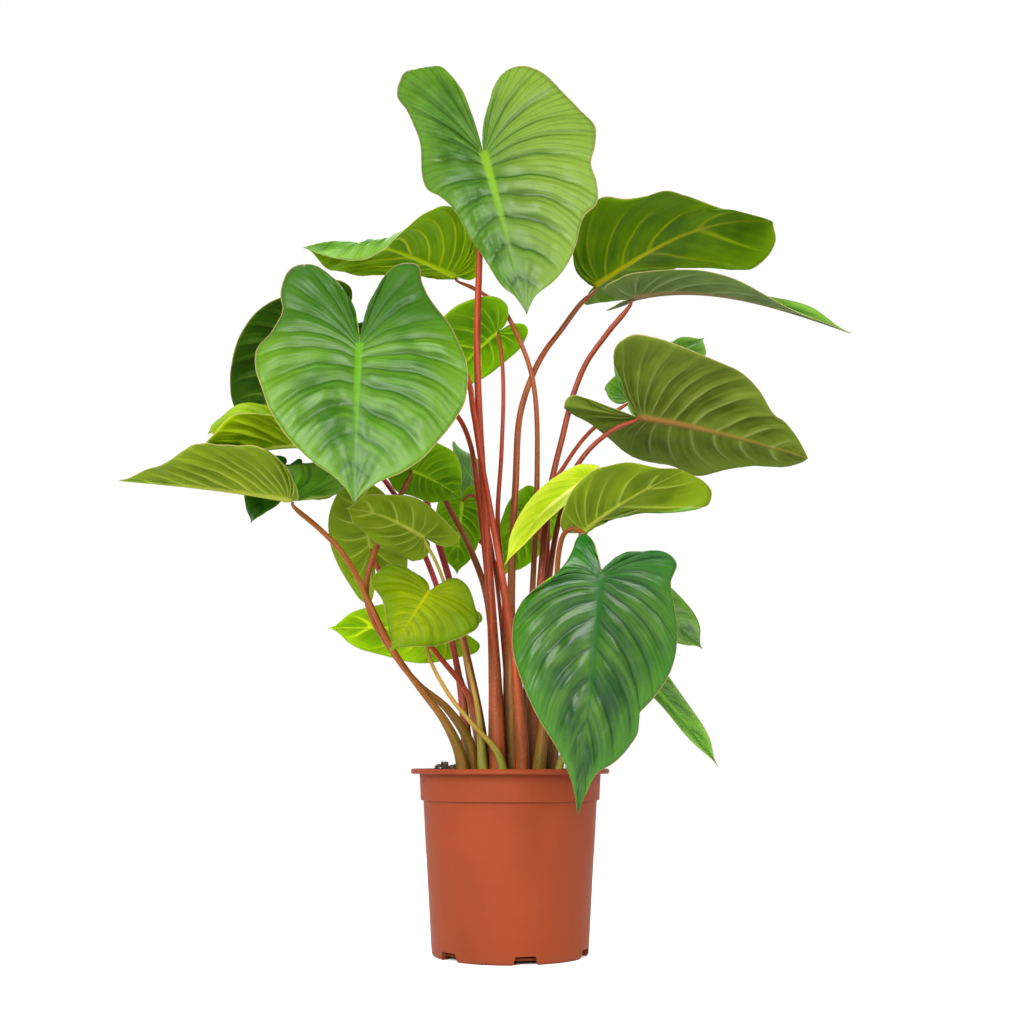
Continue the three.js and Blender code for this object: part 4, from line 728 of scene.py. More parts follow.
def inside_box(place):
    """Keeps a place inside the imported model's box. The topmost are drawn in, so that a lobe stays round."""
    low, high = cad_box
    start = high[2] - RIM_OF_BOX - DRAWN_IN
    if place.z > start:
        place.z = start + DRAWN_IN * (1 - math.exp((start - place.z) / DRAWN_IN))
    return Vector([min(max(c, low[i] + RIM_OF_BOX), high[i] - RIM_OF_BOX) for i, c in enumerate(place)])


def placed(bm):
    """Moves a mesh in millimetres from the pot's axis to its place in the frame."""
    for vert in bm.verts:
        vert.co = vert.co * MM + POT_AXIS


def finished(name, bm, smooth=True):
    """Makes the object of a piece, whose place is already in its mesh."""
    mesh = bpy.data.meshes.new(name)
    for face in bm.faces:
        face.smooth = smooth
    bm.to_mesh(mesh)
    bm.free()
    piece = bpy.data.objects.new(name, mesh)
    bpy.context.collection.objects.link(piece)
    return piece


def build_blade(name, leaf, settings):
    """One blade: a grid laid along its veins, puckered between them, with ribs standing out beneath."""
    rng = random.Random("blade " + name)
    form = BladeForm(leaf)
    smooth = name in SMOOTH
    widths = FEW_GAPS if smooth else VEIN_GAPS
    gaps = len(widths)
    large = form.length > 150
    rows = gaps * (12 if large else 6 if not smooth else 10)
    columns = 22 if large else 14
    ends = [vein_places(rng, widths) for _ in range(2)]
    swell = [[rng.uniform(0.5, 1.4) for _ in range(gaps)] for _ in range(2)]
    folds = [[rng.uniform(0, math.pi) for _ in range(gaps)] for _ in range(2)]
    phase = rng.uniform(0, 50)
    bounds = [[form.vein(end, side) for end in ends[side]] for side in range(2)]
    pucker = settings.pucker * (form.outlines[0].width + form.outlines[1].width) * (0.4 if smooth else 1)

    bm = bmesh.new()
    bmesh.ops.create_grid(bm, x_segments=rows, y_segments=2 * columns, size=1)
    vein_uv = bm.loops.layers.uv.new("veins")
    flat_uv = bm.loops.layers.uv.new("blade")
    flesh = bm.verts.layers.deform.verify()

    spots = {}
    knots = {}
    for vert in bm.verts:
        place = (vert.co.x + 1) / 2 * gaps
        side = 1 if vert.co.y > 0 else 0
        t = abs(vert.co.y) ** 1.35
        i = min(int(place), gaps - 1)
        shares = [mix(ends[k][i], ends[k][i + 1], place - i) for k in range(2)]
        a = mix((shares[0] + shares[1]) / 2, shares[side], ease(0, 0.2, t))
        key = (round(a, 6), side)
        if key not in knots:
            knots[key] = form.vein(a, side)
        spot, flat = form.at(knots[key], a, t, side)
        spots[vert] = (place, a, t, side, flat)
        vert.co = spot
    for face in bm.faces:
        for loop in face.loops:
            place, a, t, side, flat = spots[loop.vert]
            loop[vein_uv].uv = (place, t if side else -t)
            loop[flat_uv].uv = (flat.x / form.length * (1 if side else -1), flat.y / form.length)
    bm.normal_update()

    ridge = settings.ridge / MM
    sheet = settings.thickness / MM
    moves = []
    for vert, (place, a, t, side, flat) in spots.items():
        i = min(int(place), gaps - 1)
        crest = math.sin(math.pi * (place - i)) ** 0.75
        fold = abs(math.sin(3 * math.pi * (place - i) + 0.2 * folds[side][i]))
        crest += FOLD_HEIGHT * fold * ease(0.1, 0.5, t)
        reach = ease(0, mix(0.5, 0.22, ease(0.3, 0.6, a)), t) * (1 - 0.85 * ease(0.7, 1.0, t))
        reach *= min(1, (1 - a) * 5) * min(1, a * 9)
        room = (along_vein(bounds[side][i + 1], t) - along_vein(bounds[side][i], t)).length
        room = min(room, 2 * abs(flat.x))
        deep = min(pucker * reach, STEEPEST_PLEAT * room) * ease(*SLIGHTEST_ROOM, room)
        if name in SEEN_EDGE_ON:
            deep *= 1 - ease(0.45, 0.75, flat.y / form.length)
        fine = noise.noise(Vector((place * 1.3, t * 5, phase + 9 * side)))
        height = deep * (crest * swell[side][i] - 0.5 + 0.7 * fine)
        ahead = ease(-0.004, 0.012, flat.y / form.length)
        groove = math.exp(-((flat.x / (GROOVE_REACH * form.length)) ** 2)) * (1 - a) * ahead
        furrow = settings.furrow / MM * groove
        moves.append((vert, vert.normal * (height - furrow)))
        taper = clamp01(1 - flat.y / form.length)
        rib_reach = mix(0.25, 1.0, taper) * RIB_REACH * form.length
        rib = ridge * mix(0.15, 1.0, taper) * math.exp(-((flat.x / rib_reach) ** 2)) * ahead
        off_vein = min(place - i, i + 1 - place)
        vein = VEIN_HEIGHT * ridge * math.exp(-((off_vein / 0.07) ** 2))
        vein *= ease(0.05, 0.2, t) * (1 - ease(0.3, 0.95, t)) * min(1, (1 - a) * 4) * min(1, a * 6)
        stout = sheet * mix(1, 0.7, t) + max(rib, vein)
        clear = mix(0.3, 1.0, ease(0.004, 0.035, flat.length / form.length))
        vert[flesh][0] = clamp01(clear * stout / (sheet + ridge))
    for vert, move in moves:
        vert.co += move
    for vert in bm.verts:
        vert.co = inside_box(vert.co * MM + POT_AXIS)
    bmesh.ops.remove_doubles(bm, verts=bm.verts, dist=2e-6)
    bmesh.ops.dissolve_degenerate(bm, edges=bm.edges, dist=1e-6)

    blade = finished("blade_" + name, bm)
    blade.data.name = "leaf_" + name
    blade.vertex_groups.new(name="flesh")
    shell = blade.modifiers.new("flesh", "SOLIDIFY")
    shell.thickness = settings.thickness + settings.ridge
    shell.offset = -1
    shell.vertex_group = "flesh"
    shell.use_even_offset = False
    shell.material_offset = 1
    return blade


# Petioles

SOIL_LEVEL = 182
ROOT_DEPTH = 17
NECK = 0.9  # length of the neck under a blade, in top radii
SHARPEST_TURN = math.radians(45)
NECK_SLIMNESS = 0.5  # its radius where it meets the blade, in top radii
CLEARANCE = 0.35  # between a solid petiole and its solid blade
STALK_SIDES = 20
STALK_RINGS_PER_LENGTH = 0.2  # rings per millimetre
SHEATH = 0.38  # the share of a petiole, from its root, that its sheath's wings run up
OVAL = 0.035  # how far a petiole is from round, in radii
UNEVEN = 0.03
CHANNEL = (0.06, 0.26)  # depth of the channel above the sheath and in it, in radii
CHANNEL_WIDTH = 0.45  # in radians, as the next two
WING_PLACE = 0.75
WING_WIDTH = 0.22


def smooth_run(points, steps=14):
    """A smooth line through the points that keeps close to them."""
    ends = [2 * points[0] - points[1], *points, 2 * points[-1] - points[-2]]
    run = []
    for a, b, c, d in zip(ends, ends[1:], ends[2:], ends[3:]):
        before, here, after = [(q - p).length ** 0.5 for p, q in ((a, b), (b, c), (c, d))]
        start = ((b - a) / before - (c - a) / (before + here) + (c - b) / here) * here
        end = ((c - b) / here - (d - b) / (here + after) + (d - c) / after) * here
        for step in range(steps):
            s = step / steps
            run.append(
                b * (2 * s ** 3 - 3 * s ** 2 + 1) + start * (s ** 3 - 2 * s ** 2 + s)
                + c * (3 * s ** 2 - 2 * s ** 3) + end * (s ** 3 - s ** 2)
            )
    return run + [points[-1]]


def petiole_line(leaf):
    """The line of a petiole, from under its blade down into the soil."""
    normal = BladeForm(leaf).base_normal
    run = [Vector(p) if len(p) == 3 else Vector((*p, SOIL_LEVEL - ROOT_DEPTH)) for p in leaf.stem]
    seat = leaf.base - normal * (BLADE_THICKNESS / 2 + RIDGE)
    top = seat - normal * CLEARANCE
    onward = (run[0] - top).normalized()
    down = -normal
    over = down.angle(onward) - SHARPEST_TURN
    if over > 0:
        down = Matrix.Rotation(over, 3, down.cross(onward)) @ down
    rib_top = leaf.base - normal * RIDGE
    return smooth_run([rib_top, top + down * NECK * leaf.radii[0], *run])


def petiole_radius(leaf, share):
    top, root = leaf.radii
    return top * mix(NECK_SLIMNESS, 1, clamp01(share / 0.04)) + (root - top) * share ** 1.6


def build_petiole(name, leaf, settings):
    """One petiole: a tube with a channel and two thin wings where it sheathes the next one."""
    rng = random.Random("petiole " + name)
    line = petiole_line(leaf)
    along = [0.0]
    for before, after in zip(line, line[1:]):
        along.append(along[-1] + (after - before).length)
    pairs = zip([line[0], *line], [*line[1:], line[-1]])
    tangents = [(after - before).normalized() for before, after in pairs]
    length = along[-1]
    rings = int(length * STALK_RINGS_PER_LENGTH) + 12
    wobble = rng.uniform(0, 90)

    bm = bmesh.new()
    bmesh.ops.create_grid(bm, x_segments=rings, y_segments=STALK_SIDES, size=1)
    uv = bm.loops.layers.uv.new("petiole")
    frames = []
    side = None
    i = 0
    for ring in range(rings + 1):
        share = (ring / rings) ** 1.25
        while i < len(along) - 2 and along[i + 1] < share * length:
            i += 1
        onward = (share * length - along[i]) / (along[i + 1] - along[i])
        place = line[i].lerp(line[i + 1], onward)
        ahead = tangents[i].lerp(tangents[i + 1], onward).normalized()
        if side is None:
            side = ahead.orthogonal()
        side = (side - ahead * side.dot(ahead)).normalized()
        frames.append((place, ahead, side, share))
    # The channel of a petiole faces the middle of the plant, so the frames are turned to it at the root
    place, ahead, side, share = frames[-1]
    inward = Vector((-place.x, -place.y, 0))
    inward = inward - ahead * inward.dot(ahead)
    start = math.atan2(inward.dot(ahead.cross(side)), inward.dot(side)) if inward.length > 0.1 else 0

    shares = {}
    for vert in bm.verts:
        ring = round((vert.co.x + 1) / 2 * rings)
        around = (vert.co.y + 1) / 2
        place, ahead, side, share = frames[ring]
        turn = around * 2 * math.pi
        other = ahead.cross(side)
        sheath = ease(1 - SHEATH, 1 - 0.4 * SHEATH, share)
        radius = petiole_radius(leaf, share) * (1 + settings.flare * ease(0.66, 1.0, share))
        off_channel = math.pi - abs(math.pi - turn)
        shape = OVAL * math.cos(2 * turn + wobble + 3 * share)
        lump = Vector((share * length / 22, math.cos(turn), wobble + math.sin(turn)))
        shape += UNEVEN * noise.noise(lump)
        channel = mix(*CHANNEL, sheath) * math.exp(-((off_channel / CHANNEL_WIDTH) ** 2))
        wing = mix(0.02, settings.wing, sheath) * math.exp(-(((off_channel - WING_PLACE) / WING_WIDTH) ** 2))
        reach = radius * (1 + shape - channel + wing)
        spot = place + (side * math.cos(turn + start) + other * math.sin(turn + start)) * reach
        vert.co = inside_box(spot * MM + POT_AXIS)
        shares[vert] = (share, around)
    for face in bm.faces:
        for loop in face.loops:
            loop[uv].uv = shares[loop.vert]
    bmesh.ops.remove_doubles(bm, verts=bm.verts, dist=1e-6)
    bmesh.ops.holes_fill(bm, edges=[edge for edge in bm.edges if edge.is_boundary], sides=0)
    bmesh.ops.recalc_face_normals(bm, faces=bm.faces)
    return finished("stalk_" + name, bm)


def petiole_material(name, tones):
    """Smooth fleshy skin, ribbed along its length: tones from the blade, the middle and the sheath."""
    material, tree = new_material(name)
    upper, middle, foot, streak = (linear(tone) for tone in tones)
    place = add(tree, "TexCoord", out="Object")
    uv = add(tree, "UVMap", uv_map="petiole")
    axes = add(tree, "SeparateXYZ", (uv,)).node.outputs
    broad = add(tree, "TexNoise", {"Vector": place, "Scale": 22, "Detail": 2})
    shifted = add(tree, "Math", (broad, 0.22, axes[0]), operation="MULTIPLY_ADD")
    high = add(tree, "MapRange", (shifted, 0.12, 0.45))
    low = add(tree, "MapRange", (shifted, 0.66, 0.98))
    tone = add(tree, "Mix", {0: high, 6: upper, 7: middle}, out=2, data_type="RGBA")
    # Streaks about 1 mm wide and 40 mm long, and pores between them
    lines = add(tree, "Mapping", {0: uv, "Scale": (9, 11, 1)})
    streaks = add(tree, "TexNoise", {"Vector": lines, "Scale": 1, "Detail": 3, "Roughness": 0.65})
    marked = add(tree, "MapRange", (streaks, 0.42, 0.7, 0.0, 0.7))
    pores = add(tree, "TexNoise", {"Vector": place, "Scale": 900, "Detail": 1})
    fleck = add(tree, "MapRange", (pores, 0.62, 0.72, 0.0, 0.35))
    for share, colour in (low, foot), (marked, streak), (fleck, linear("#B07850")):
        tone = add(tree, "Mix", {0: share, 6: tone, 7: colour}, out=2, data_type="RGBA")
    gloss = add(tree, "MapRange", (broad, 0.3, 0.7, 0.36, 0.5))
    bump = add(tree, "Bump", {"Height": streaks, "Strength": 0.4, "Distance": 0.0005})
    skin = add(
        tree, "BsdfPrincipled",
        {"Base Color": tone, "Roughness": gloss, "Specular IOR Level": 0.13, "Normal": bump},
    )
    add(tree, "OutputMaterial", (skin,))
    return material


# Upper end, middle, sheathed foot and streak
PETIOLE_TONES = {
    "red": ("#6F3314", "#761F04", "#5E2E10", "#973C1E"),
    "brick": ("#642610", "#5C1F0A", "#56300E", "#7E3A24"),
    "orange": ("#6A2F08", "#672C0A", "#553A0C", "#84502C"),
    "brown": ("#532D02", "#612C05", "#4D3C04", "#7C4B1F"),
    "crimson": ("#5E1C03", "#6F1414", "#6E3A1C", "#9F433E"),
    "green": ("#6F761C", "#7F5E20", "#545A14", "#8E7638"),
}


# Soil and pot

BED_RADIUS = 92.3
BED_SIDES = 64
BED_RINGS = 11
SKIRT_DEPTH = 14  # how far the bed's edge reaches down inside the pot
HEAPS = ((-70, -8, 9.5), (-52, 30, 8), (74, 6, 8.5))  # where the mix stands up to the rim, and how far


def bed(x, y):
    """The height of the potting mix."""
    rough = noise.fractal(Vector((x, y, 0)) / 26 + Vector((3, 0, 9)), 1.0, 2.0, 3)
    heaped = sum(height * math.exp(-((x - a) ** 2 + (y - b) ** 2) / 200) for a, b, height in HEAPS)
    return SOIL_LEVEL + 1.2 + 2.6 * rough + heaped - 4 * ease(74, 92, math.hypot(x, y))


def middle_face(bm):
    """The face with as many sides as the bed, which is its middle."""
    faces = (face for face in bm.faces if len(face.verts) == BED_SIDES)
    return min(faces, key=lambda face: face.calc_center_median().length)


def scattered(rng, reach, evenness, heaped):
    """A random place on the bed, by the chance heaped on one of its heaps."""
    around, out = rng.uniform(0, 2 * math.pi), reach * rng.random() ** evenness
    if rng.random() < heaped:
        return [c + rng.gauss(0, 7) for c in rng.choice(HEAPS)[:2]]
    return out * math.cos(around), out * math.sin(around)


def build_soil(settings):
    """The top of the potting mix: an uneven bed with crumbs of bark and short fibres lying on it."""
    rng = random.Random("soil")
    bm = bmesh.new()
    bmesh.ops.create_circle(bm, cap_ends=True, segments=BED_SIDES, radius=BED_RADIUS)
    for _ in range(BED_RINGS):
        bmesh.ops.inset_region(bm, faces=[middle_face(bm)], thickness=7.6, use_even_offset=True)
    bmesh.ops.poke(bm, faces=[middle_face(bm)])
    skirt = bmesh.ops.extrude_edge_only(bm, edges=[edge for edge in bm.edges if edge.is_boundary])
    for vert in bm.verts:
        vert.co.z = bed(vert.co.x, vert.co.y)
    for item in skirt["geom"]:
        if isinstance(item, bmesh.types.BMVert):
            item.co.z = SOIL_LEVEL - SKIRT_DEPTH
    for _ in range(settings.crumbs):
        size = rng.choice((1.1, 1.5, 1.9, 2.4, 3.4)) * rng.uniform(0.7, 1.2)
        x, y = scattered(rng, BED_RADIUS - 1 - 1.3 * size, 0.55, 0.22)
        angle = rng.uniform(0, 6.3)
        turn = Matrix.Rotation(angle, 4, Vector((rng.random(), rng.random(), rng.random() + 0.1)))
        flat = Matrix.Diagonal((rng.uniform(0.8, 1.5), rng.uniform(0.6, 1.0), rng.uniform(0.4, 0.8), 1))
        place = Matrix.Translation((x, y, bed(x, y) + 0.25 * size)) @ turn @ flat
        for vert in bmesh.ops.create_icosphere(bm, subdivisions=1, radius=size, matrix=place)["verts"]:
            vert.co += Vector([rng.uniform(-0.22, 0.22) * size for _ in range(3)])
    for _ in range(settings.fibres):
        x, y = scattered(rng, BED_RADIUS - 14, 0.5, 0.3)
        tilt = Matrix.Rotation(math.radians(rng.uniform(62, 118)), 4, "X")
        turn = Matrix.Rotation(rng.uniform(0, 6.3), 4, "Z")
        place = Matrix.Translation((x, y, bed(x, y) + 1.6)) @ turn @ tilt
        bmesh.ops.create_cone(
            bm, cap_ends=True, segments=5, radius1=0.32, radius2=0.2, depth=rng.uniform(7, 17), matrix=place
        )
    placed(bm)
    return finished("potting_mix", bm, smooth=False)


def soil_material():
    """Moist peat and composted bark: nearly black hollows, brown crumbs, a few straw-coloured fibres."""
    material, tree = new_material("moist potting mix")
    place = add(tree, "TexCoord", out="Object")
    lumps = add(tree, "TexNoise", {"Vector": place, "Scale": 160, "Detail": 4, "Roughness": 0.65})
    grit = add(tree, "TexVoronoi", {"Vector": place, "Scale": 420})
    shade = add(tree, "MapRange", (lumps, 0.36, 0.66))
    tone = add(tree, "Mix", {0: shade, 6: linear("#1A120C"), 7: linear("#4A3222")}, out=2, data_type="RGBA")
    pale = add(tree, "MapRange", (grit, 0.1, 0.2, 0.5, 0.0))
    tone = add(tree, "Mix", {0: pale, 6: tone, 7: linear("#7A5A3C")}, out=2, data_type="RGBA")
    bump = add(tree, "Bump", {"Height": lumps, "Strength": 0.9, "Distance": 0.001})
    crumbs = add(tree, "BsdfPrincipled", {"Base Color": tone, "Roughness": 0.92, "Normal": bump})
    add(tree, "OutputMaterial", (crumbs,))
    return material


# The pot's section as (radius, height), round from the middle of its underside
POT_SECTION = (
    (0, 3.5), (75.5, 3.5), (75.5, 0), (79.2, 0), (81.2, 2.4), (82, 12), (91.6, 155.4), (94.4, 156.4),
    (96, 183.2), (104, 183.2), (105, 184.2), (105, 187.4), (104, 188.4), (93.8, 188.4), (89.4, 155.4),
    (79.8, 12), (77.3, 6), (0, 6),
)
FOOT_RADIUS = 80.2
# Drain notches in the foot: (degrees round from the front, height, width at the top, width at the bottom)
POT_NOTCHES = [(11 + 60 * i, 8.5, 20.5, 26.5) for i in range(6)] + [(-18, 1.3, 7, 9.5)]


def build_pot(settings):
    """The pot: its section spun about the axis, with drain notches cut through the foot."""
    bm = bmesh.new()
    ring = [bm.verts.new((radius, 0, height)) for radius, height in POT_SECTION]
    edges = [bm.edges.new(pair) for pair in zip(ring, ring[1:])]
    bmesh.ops.spin(
        bm, geom=ring + edges, cent=(0, 0, 0), axis=(0, 0, 1), angle=2 * math.pi, steps=settings.sides,
        use_merge=True,
    )
    bmesh.ops.remove_doubles(bm, verts=bm.verts, dist=1e-4)
    bmesh.ops.recalc_face_normals(bm, faces=bm.faces)
    placed(bm)
    pot = finished("nursery_pot", bm)

    bm = bmesh.new()
    for around, height, top, bottom in POT_NOTCHES:
        block = bmesh.ops.create_cube(bm, size=1)["verts"]
        turn = Matrix.Rotation(math.radians(around), 3, "Z")
        for vert in block:
            wide = top if vert.co.z > 0 else bottom
            level = height if vert.co.z > 0 else -2
            vert.co = turn @ Vector((vert.co.x * wide, -(FOOT_RADIUS + 14 * vert.co.y), level))
    placed(bm)
    bmesh.ops.recalc_face_normals(bm, faces=bm.faces)
    cutter = finished("notches", bm)
    cut = pot.modifiers.new("notches", "BOOLEAN")
    cut.object = cutter
    cut.solver = "EXACT"
    pot.data = bpy.data.meshes.new_from_object(pot.evaluated_get(bpy.context.evaluated_depsgraph_get()))
    pot.data.name = "nursery_pot"
    pot.modifiers.clear()
    bpy.data.objects.remove(cutter)
    soften = pot.modifiers.new("moulded edges", "BEVEL")
    soften.width = settings.edge
    soften.segments = 2
    soften.limit_method = "ANGLE"
    soften.angle_limit = math.radians(28)
    soften.harden_normals = True
    return pot


def pot_material(colour):
    """Recycled terracotta plastic: matt, finely pitted, duller where hands and benches have rubbed it."""
    material, tree = new_material("terracotta nursery plastic")
    place = add(tree, "TexCoord", out="Object")
    height = add(tree, "SeparateXYZ", (place,), out=2)
    cloud = add(tree, "TexNoise", {"Vector": place, "Scale": 16, "Detail": 3, "Roughness": 0.6})
    pits = add(tree, "TexNoise", {"Vector": place, "Scale": 900, "Detail": 2, "Roughness": 0.7})
    warm = [min(1.0, c * 1.08) for c in colour[:3]] + [1]
    dull = [c * 0.92 for c in colour[:3]] + [1]
    shade = add(tree, "MapRange", (cloud, 0.32, 0.68))
    tone = add(tree, "Mix", {0: shade, 6: dull, 7: warm}, out=2, data_type="RGBA")
    fleck = add(tree, "MapRange", (pits, 0.3, 0.46, 0.3, 0.0))
    tone = add(tree, "Mix", {0: fleck, 6: tone, 7: linear("#5E2410")}, out=2, data_type="RGBA")
    # Soil dust that watering has left along the foot
    dust = add(tree, "MapRange", (height, 0.0, 0.012, 0.35, 0.0))
    dust = add(tree, "Math", (dust, cloud), operation="MULTIPLY")
    tone = add(tree, "Mix", {0: dust, 6: tone, 7: linear("#6E3A24")}, out=2, data_type="RGBA")
    gloss = add(tree, "MapRange", (cloud, 0.3, 0.7, 0.5, 0.62))
    bump = add(tree, "Bump", {"Height": pits, "Strength": 0.35, "Distance": 0.0003})
    plastic = add(
        tree, "BsdfPrincipled",
        {"Base Color": tone, "Roughness": gloss, "Specular IOR Level": 0.1, "Normal": bump},
    )
    add(tree, "OutputMaterial", (plastic,))
    return material


# Stage

# Name, place in metres, size in metres and share of the key light's power
SOFTBOXES = (
    ("key softbox", (-1.0, -2.3, 1.5), 1.7, 1.0),
    ("fill softbox", (1.8, -1.7, 1.9), 1.0, 0.4),
    ("back softbox", (-0.3, 1.7, 2.5), 1.2, 0.3),
)


def build_stage(settings):
    """A wide white floor under an evenly pale sky, three softboxes and the camera."""
    bm = bmesh.new()
    bmesh.ops.create_circle(bm, cap_ends=True, segments=96, radius=1.5)
    floor = finished("floor", bm)
    # Matt white paper, which shows no gleam and almost no shade
    material, tree = new_material("white studio paper")
    paper = add(
        tree, "BsdfPrincipled",
        {"Base Color": settings.paper, "Roughness": 0.9, "Specular IOR Level": 0.0},
    )
    add(tree, "OutputMaterial", (paper,))
    floor.data.materials.append(material)

    world = bpy.data.worlds.new("pale room")
    world.use_nodes = True
    tree = world.node_tree
    tree.nodes.clear()
    ways = add(tree, "TexCoord", out="Generated")
    height = add(tree, "SeparateXYZ", (ways,), out=2)
    light = add(tree, "MapRange", (height, 0.58, 0.85, settings.room, settings.ceiling))
    sky = add(tree, "Background", ((1, 1, 1, 1), light))
    add(tree, "OutputWorld", (sky,))
    bpy.context.scene.world = world
    bpy.context.scene.view_settings.view_transform = "Standard"

    target = Vector((0.02, 0, 0.55))
    for name, spot, size, share in SOFTBOXES:
        lamp = bpy.data.lights.new(name, "AREA")
        lamp.energy = settings.power * share
        lamp.size = size
        box = bpy.data.objects.new(name, lamp)
        box.location = spot
        box.rotation_euler = (target - Vector(spot)).to_track_quat("-Z", "Y").to_euler()
        bpy.context.collection.objects.link(box)

    lens = bpy.data.cameras.new("camera")
    lens.lens = settings.lens
    lens.sensor_width = 36
    camera = bpy.data.objects.new("camera", lens)
    camera.location = settings.eye
    camera.rotation_euler = (math.radians(90) + settings.pitch, 0, 0)
    bpy.context.collection.objects.link(camera)
    bpy.context.scene.camera = camera


# Settings and operators


class BladeSettings(bpy.types.PropertyGroup):
    thickness: FloatProperty(
        name="Thickness", description="Thickness of a blade between its veins", default=0.0007, min=0.0004,
        max=0.002, unit="LENGTH",
    )
    ridge: FloatProperty(
        name="Midrib height", description="How far the midrib stands out under a blade", default=0.0021,
        min=0.0, max=0.004, unit="LENGTH",
    )
    furrow: FloatProperty(
        name="Furrow depth", description="Depth of the furrow over the midrib", default=0.0009, min=0.0,
        max=0.003, unit="LENGTH",
    )
    pucker: FloatProperty(
        name="Pucker", description="Rise of a blade between two veins, in blade lengths", default=0.03,
        min=0.0, max=0.05, subtype="FACTOR",
    )


class PetioleSettings(bpy.types.PropertyGroup):
    flare: FloatProperty(
        name="Flare", description="How much wider a petiole is where it sheathes the next one", default=0.8,
    )
    wing: FloatProperty(
        name="Wings", description="Height of a sheath's wings, in petiole radii", default=0.16, min=0.0,
        max=0.4, subtype="FACTOR",
    )


class PotSettings(bpy.types.PropertyGroup):
    colour: FloatVectorProperty(
        name="Plastic", description="Colour of the pot's plastic", size=4, min=0, max=1,
        default=linear("#6A2B11"), subtype="COLOR",
    )
    sides: IntProperty(name="Sides", description="Steps round the pot", default=144, min=24, max=360)
    edge: FloatProperty(
        name="Edge", description="Rounding of the moulded edges", default=0.0004, min=0.0, max=0.002,
        unit="LENGTH",
    )
    crumbs: IntProperty(name="Crumbs", description="Bits of bark on the soil", default=460, min=0, max=2000)
    fibres: IntProperty(name="Fibres", description="Fibres on the soil", default=60, min=0, max=400)


class StageSettings(bpy.types.PropertyGroup):
    eye: FloatVectorProperty(
        name="Camera", description="Place of the camera", size=3, default=(0.024, -1.399, 0.196),
        subtype="TRANSLATION",
    )
    pitch: FloatProperty(
        name="Pitch", description="How far the camera looks up", default=math.radians(10.93),
        subtype="ANGLE",
    )
    lens: FloatProperty(name="Lens", description="Focal length", default=45.39, subtype="DISTANCE_CAMERA")
    power: FloatProperty(name="Key light", description="Power of the key softbox", default=160, unit="POWER")
    room: FloatProperty(name="Room light", description="Strength of the light from all round", default=1.0)
    ceiling: FloatProperty(name="Ceiling", description="Radiance of the room overhead", default=0.3)
    paper: FloatVectorProperty(
        name="Paper", description="Colour of the backdrop", size=4, min=0, max=1,
        default=(0.99, 0.99, 0.99, 1), subtype="COLOR",
    )


class PLANT_OT_blades(bpy.types.Operator):
    """Builds every leaf blade along its own veins"""

    bl_idname = "plant.blades"
    bl_label = "Blades"

    def execute(self, context):
        settings = context.scene.plant_blades
        faces = {}
        for name, tones in FACE_TONES.items():
            faces[name] = blade_material(
                "waxy upper face, " + name, tones, roughness=0.34 if name == "deep" else 0.43,
                polish=FACE_POLISH.get(name, 0.22), glow=0.3 if name == "young" else 0.2, rib=(0.03, 0.0),
                veins=(0.045, 0.5), fine_veins=0.38, painted_light=FACE_PAINTED_LIGHT.get(name),
                blotches=0.8 if name == "spotted" else 0,
            )
        backs = {
            name: blade_material(
                "matt underside, " + name, tones, roughness=0.5, polish=0.06, glow=0.32, rib=(0.03, 0.5),
                veins=(0.05, 0.1), fine_veins=0.1,
            )
            for name, tones in UNDERSIDE_TONES.items()
        }
        for name, leaf in LEAVES.items():
            blade = build_blade(name, leaf, settings)
            blade.data.materials.append(faces[FACES.get(name, "green")])
            blade.data.materials.append(backs[UNDERSIDES.get(name, "green")])
            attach(blade, "root")
            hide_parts("leaf_" + name)
        return {"FINISHED"}


class PLANT_OT_petioles(bpy.types.Operator):
    """Builds every petiole from its blade down into the soil"""

    bl_idname = "plant.petioles"
    bl_label = "Petioles"

    def execute(self, context):
        skins = {
            name: petiole_material("ribbed petiole skin, " + name, tones)
            for name, tones in PETIOLE_TONES.items()
        }
        for name, leaf in LEAVES.items():
            stalk = build_petiole(name, leaf, context.scene.plant_petioles)
            stalk.data.materials.append(skins[STALKS.get(name, "red")])
            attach(stalk, "root")
            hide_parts("petiole_" + name)
        return {"FINISHED"}


class PLANT_OT_soil(bpy.types.Operator):
    """Builds the top of the potting mix"""

    bl_idname = "plant.soil"
    bl_label = "Soil"

    def execute(self, context):
        soil = build_soil(context.scene.plant_pot)
        soil.data.materials.append(soil_material())
        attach(soil, "root")
        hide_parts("soil")
        return {"FINISHED"}


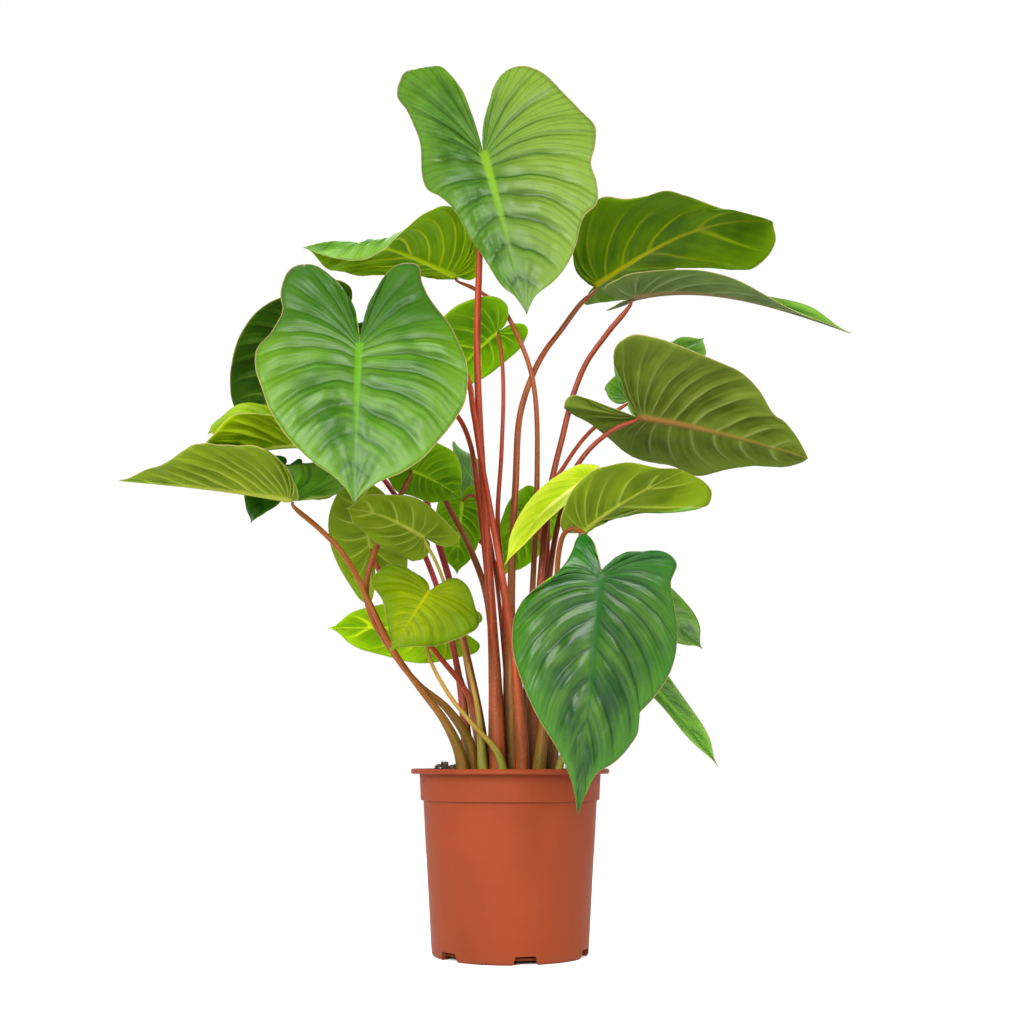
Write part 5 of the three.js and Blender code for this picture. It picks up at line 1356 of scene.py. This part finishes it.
class PLANT_OT_pot(bpy.types.Operator):
    """Builds the pot"""

    bl_idname = "plant.pot"
    bl_label = "Pot"

    def execute(self, context):
        settings = context.scene.plant_pot
        pot = build_pot(settings)
        pot.data.materials.append(pot_material(list(settings.colour)))
        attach(pot, "root")
        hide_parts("pot")
        return {"FINISHED"}


class PLANT_OT_stage(bpy.types.Operator):
    """Sets up the backdrop, the lights and the camera"""

    bl_idname = "plant.stage"
    bl_label = "Stage"

    def execute(self, context):
        build_stage(context.scene.plant_stage)
        return {"FINISHED"}


class PLANT_PT_panel(bpy.types.Panel):
    """Every step of the plant, with its settings"""

    bl_idname = "PLANT_PT_panel"
    bl_label = "Potted Homalomena"
    bl_space_type = "VIEW_3D"
    bl_region_type = "UI"
    bl_category = "Plant"

    def draw(self, context):
        for operator, group in STEPS:
            box = self.layout.box()
            box.operator(operator.bl_idname)
            settings = getattr(context.scene, group)
            for field in settings.bl_rna.properties.keys():
                if field not in ("rna_type", "name"):
                    box.prop(settings, field)


# In building order, each with the scene's settings that it reads
STEPS = (
    (PLANT_OT_stage, "plant_stage"),
    (PLANT_OT_pot, "plant_pot"),
    (PLANT_OT_soil, "plant_pot"),
    (PLANT_OT_petioles, "plant_petioles"),
    (PLANT_OT_blades, "plant_blades"),
)
SETTINGS = {
    "plant_stage": StageSettings,
    "plant_pot": PotSettings,
    "plant_petioles": PetioleSettings,
    "plant_blades": BladeSettings,
}


def register():
    for group in SETTINGS.values():
        bpy.utils.register_class(group)
    for operator, _ in STEPS:
        bpy.utils.register_class(operator)
    bpy.utils.register_class(PLANT_PT_panel)
    for name, group in SETTINGS.items():
        setattr(bpy.types.Scene, name, bpy.props.PointerProperty(type=group))


def unregister():
    for name in SETTINGS:
        delattr(bpy.types.Scene, name)
    bpy.utils.unregister_class(PLANT_PT_panel)
    for operator, _ in reversed(STEPS):
        bpy.utils.unregister_class(operator)
    for group in reversed(SETTINGS.values()):
        bpy.utils.unregister_class(group)


def main():
    register()
    bpy.ops.plant.stage()
    bpy.ops.plant.pot()
    bpy.ops.plant.soil()
    bpy.ops.plant.petioles()
    bpy.ops.plant.blades()


if __name__ == "__main__":
    main()
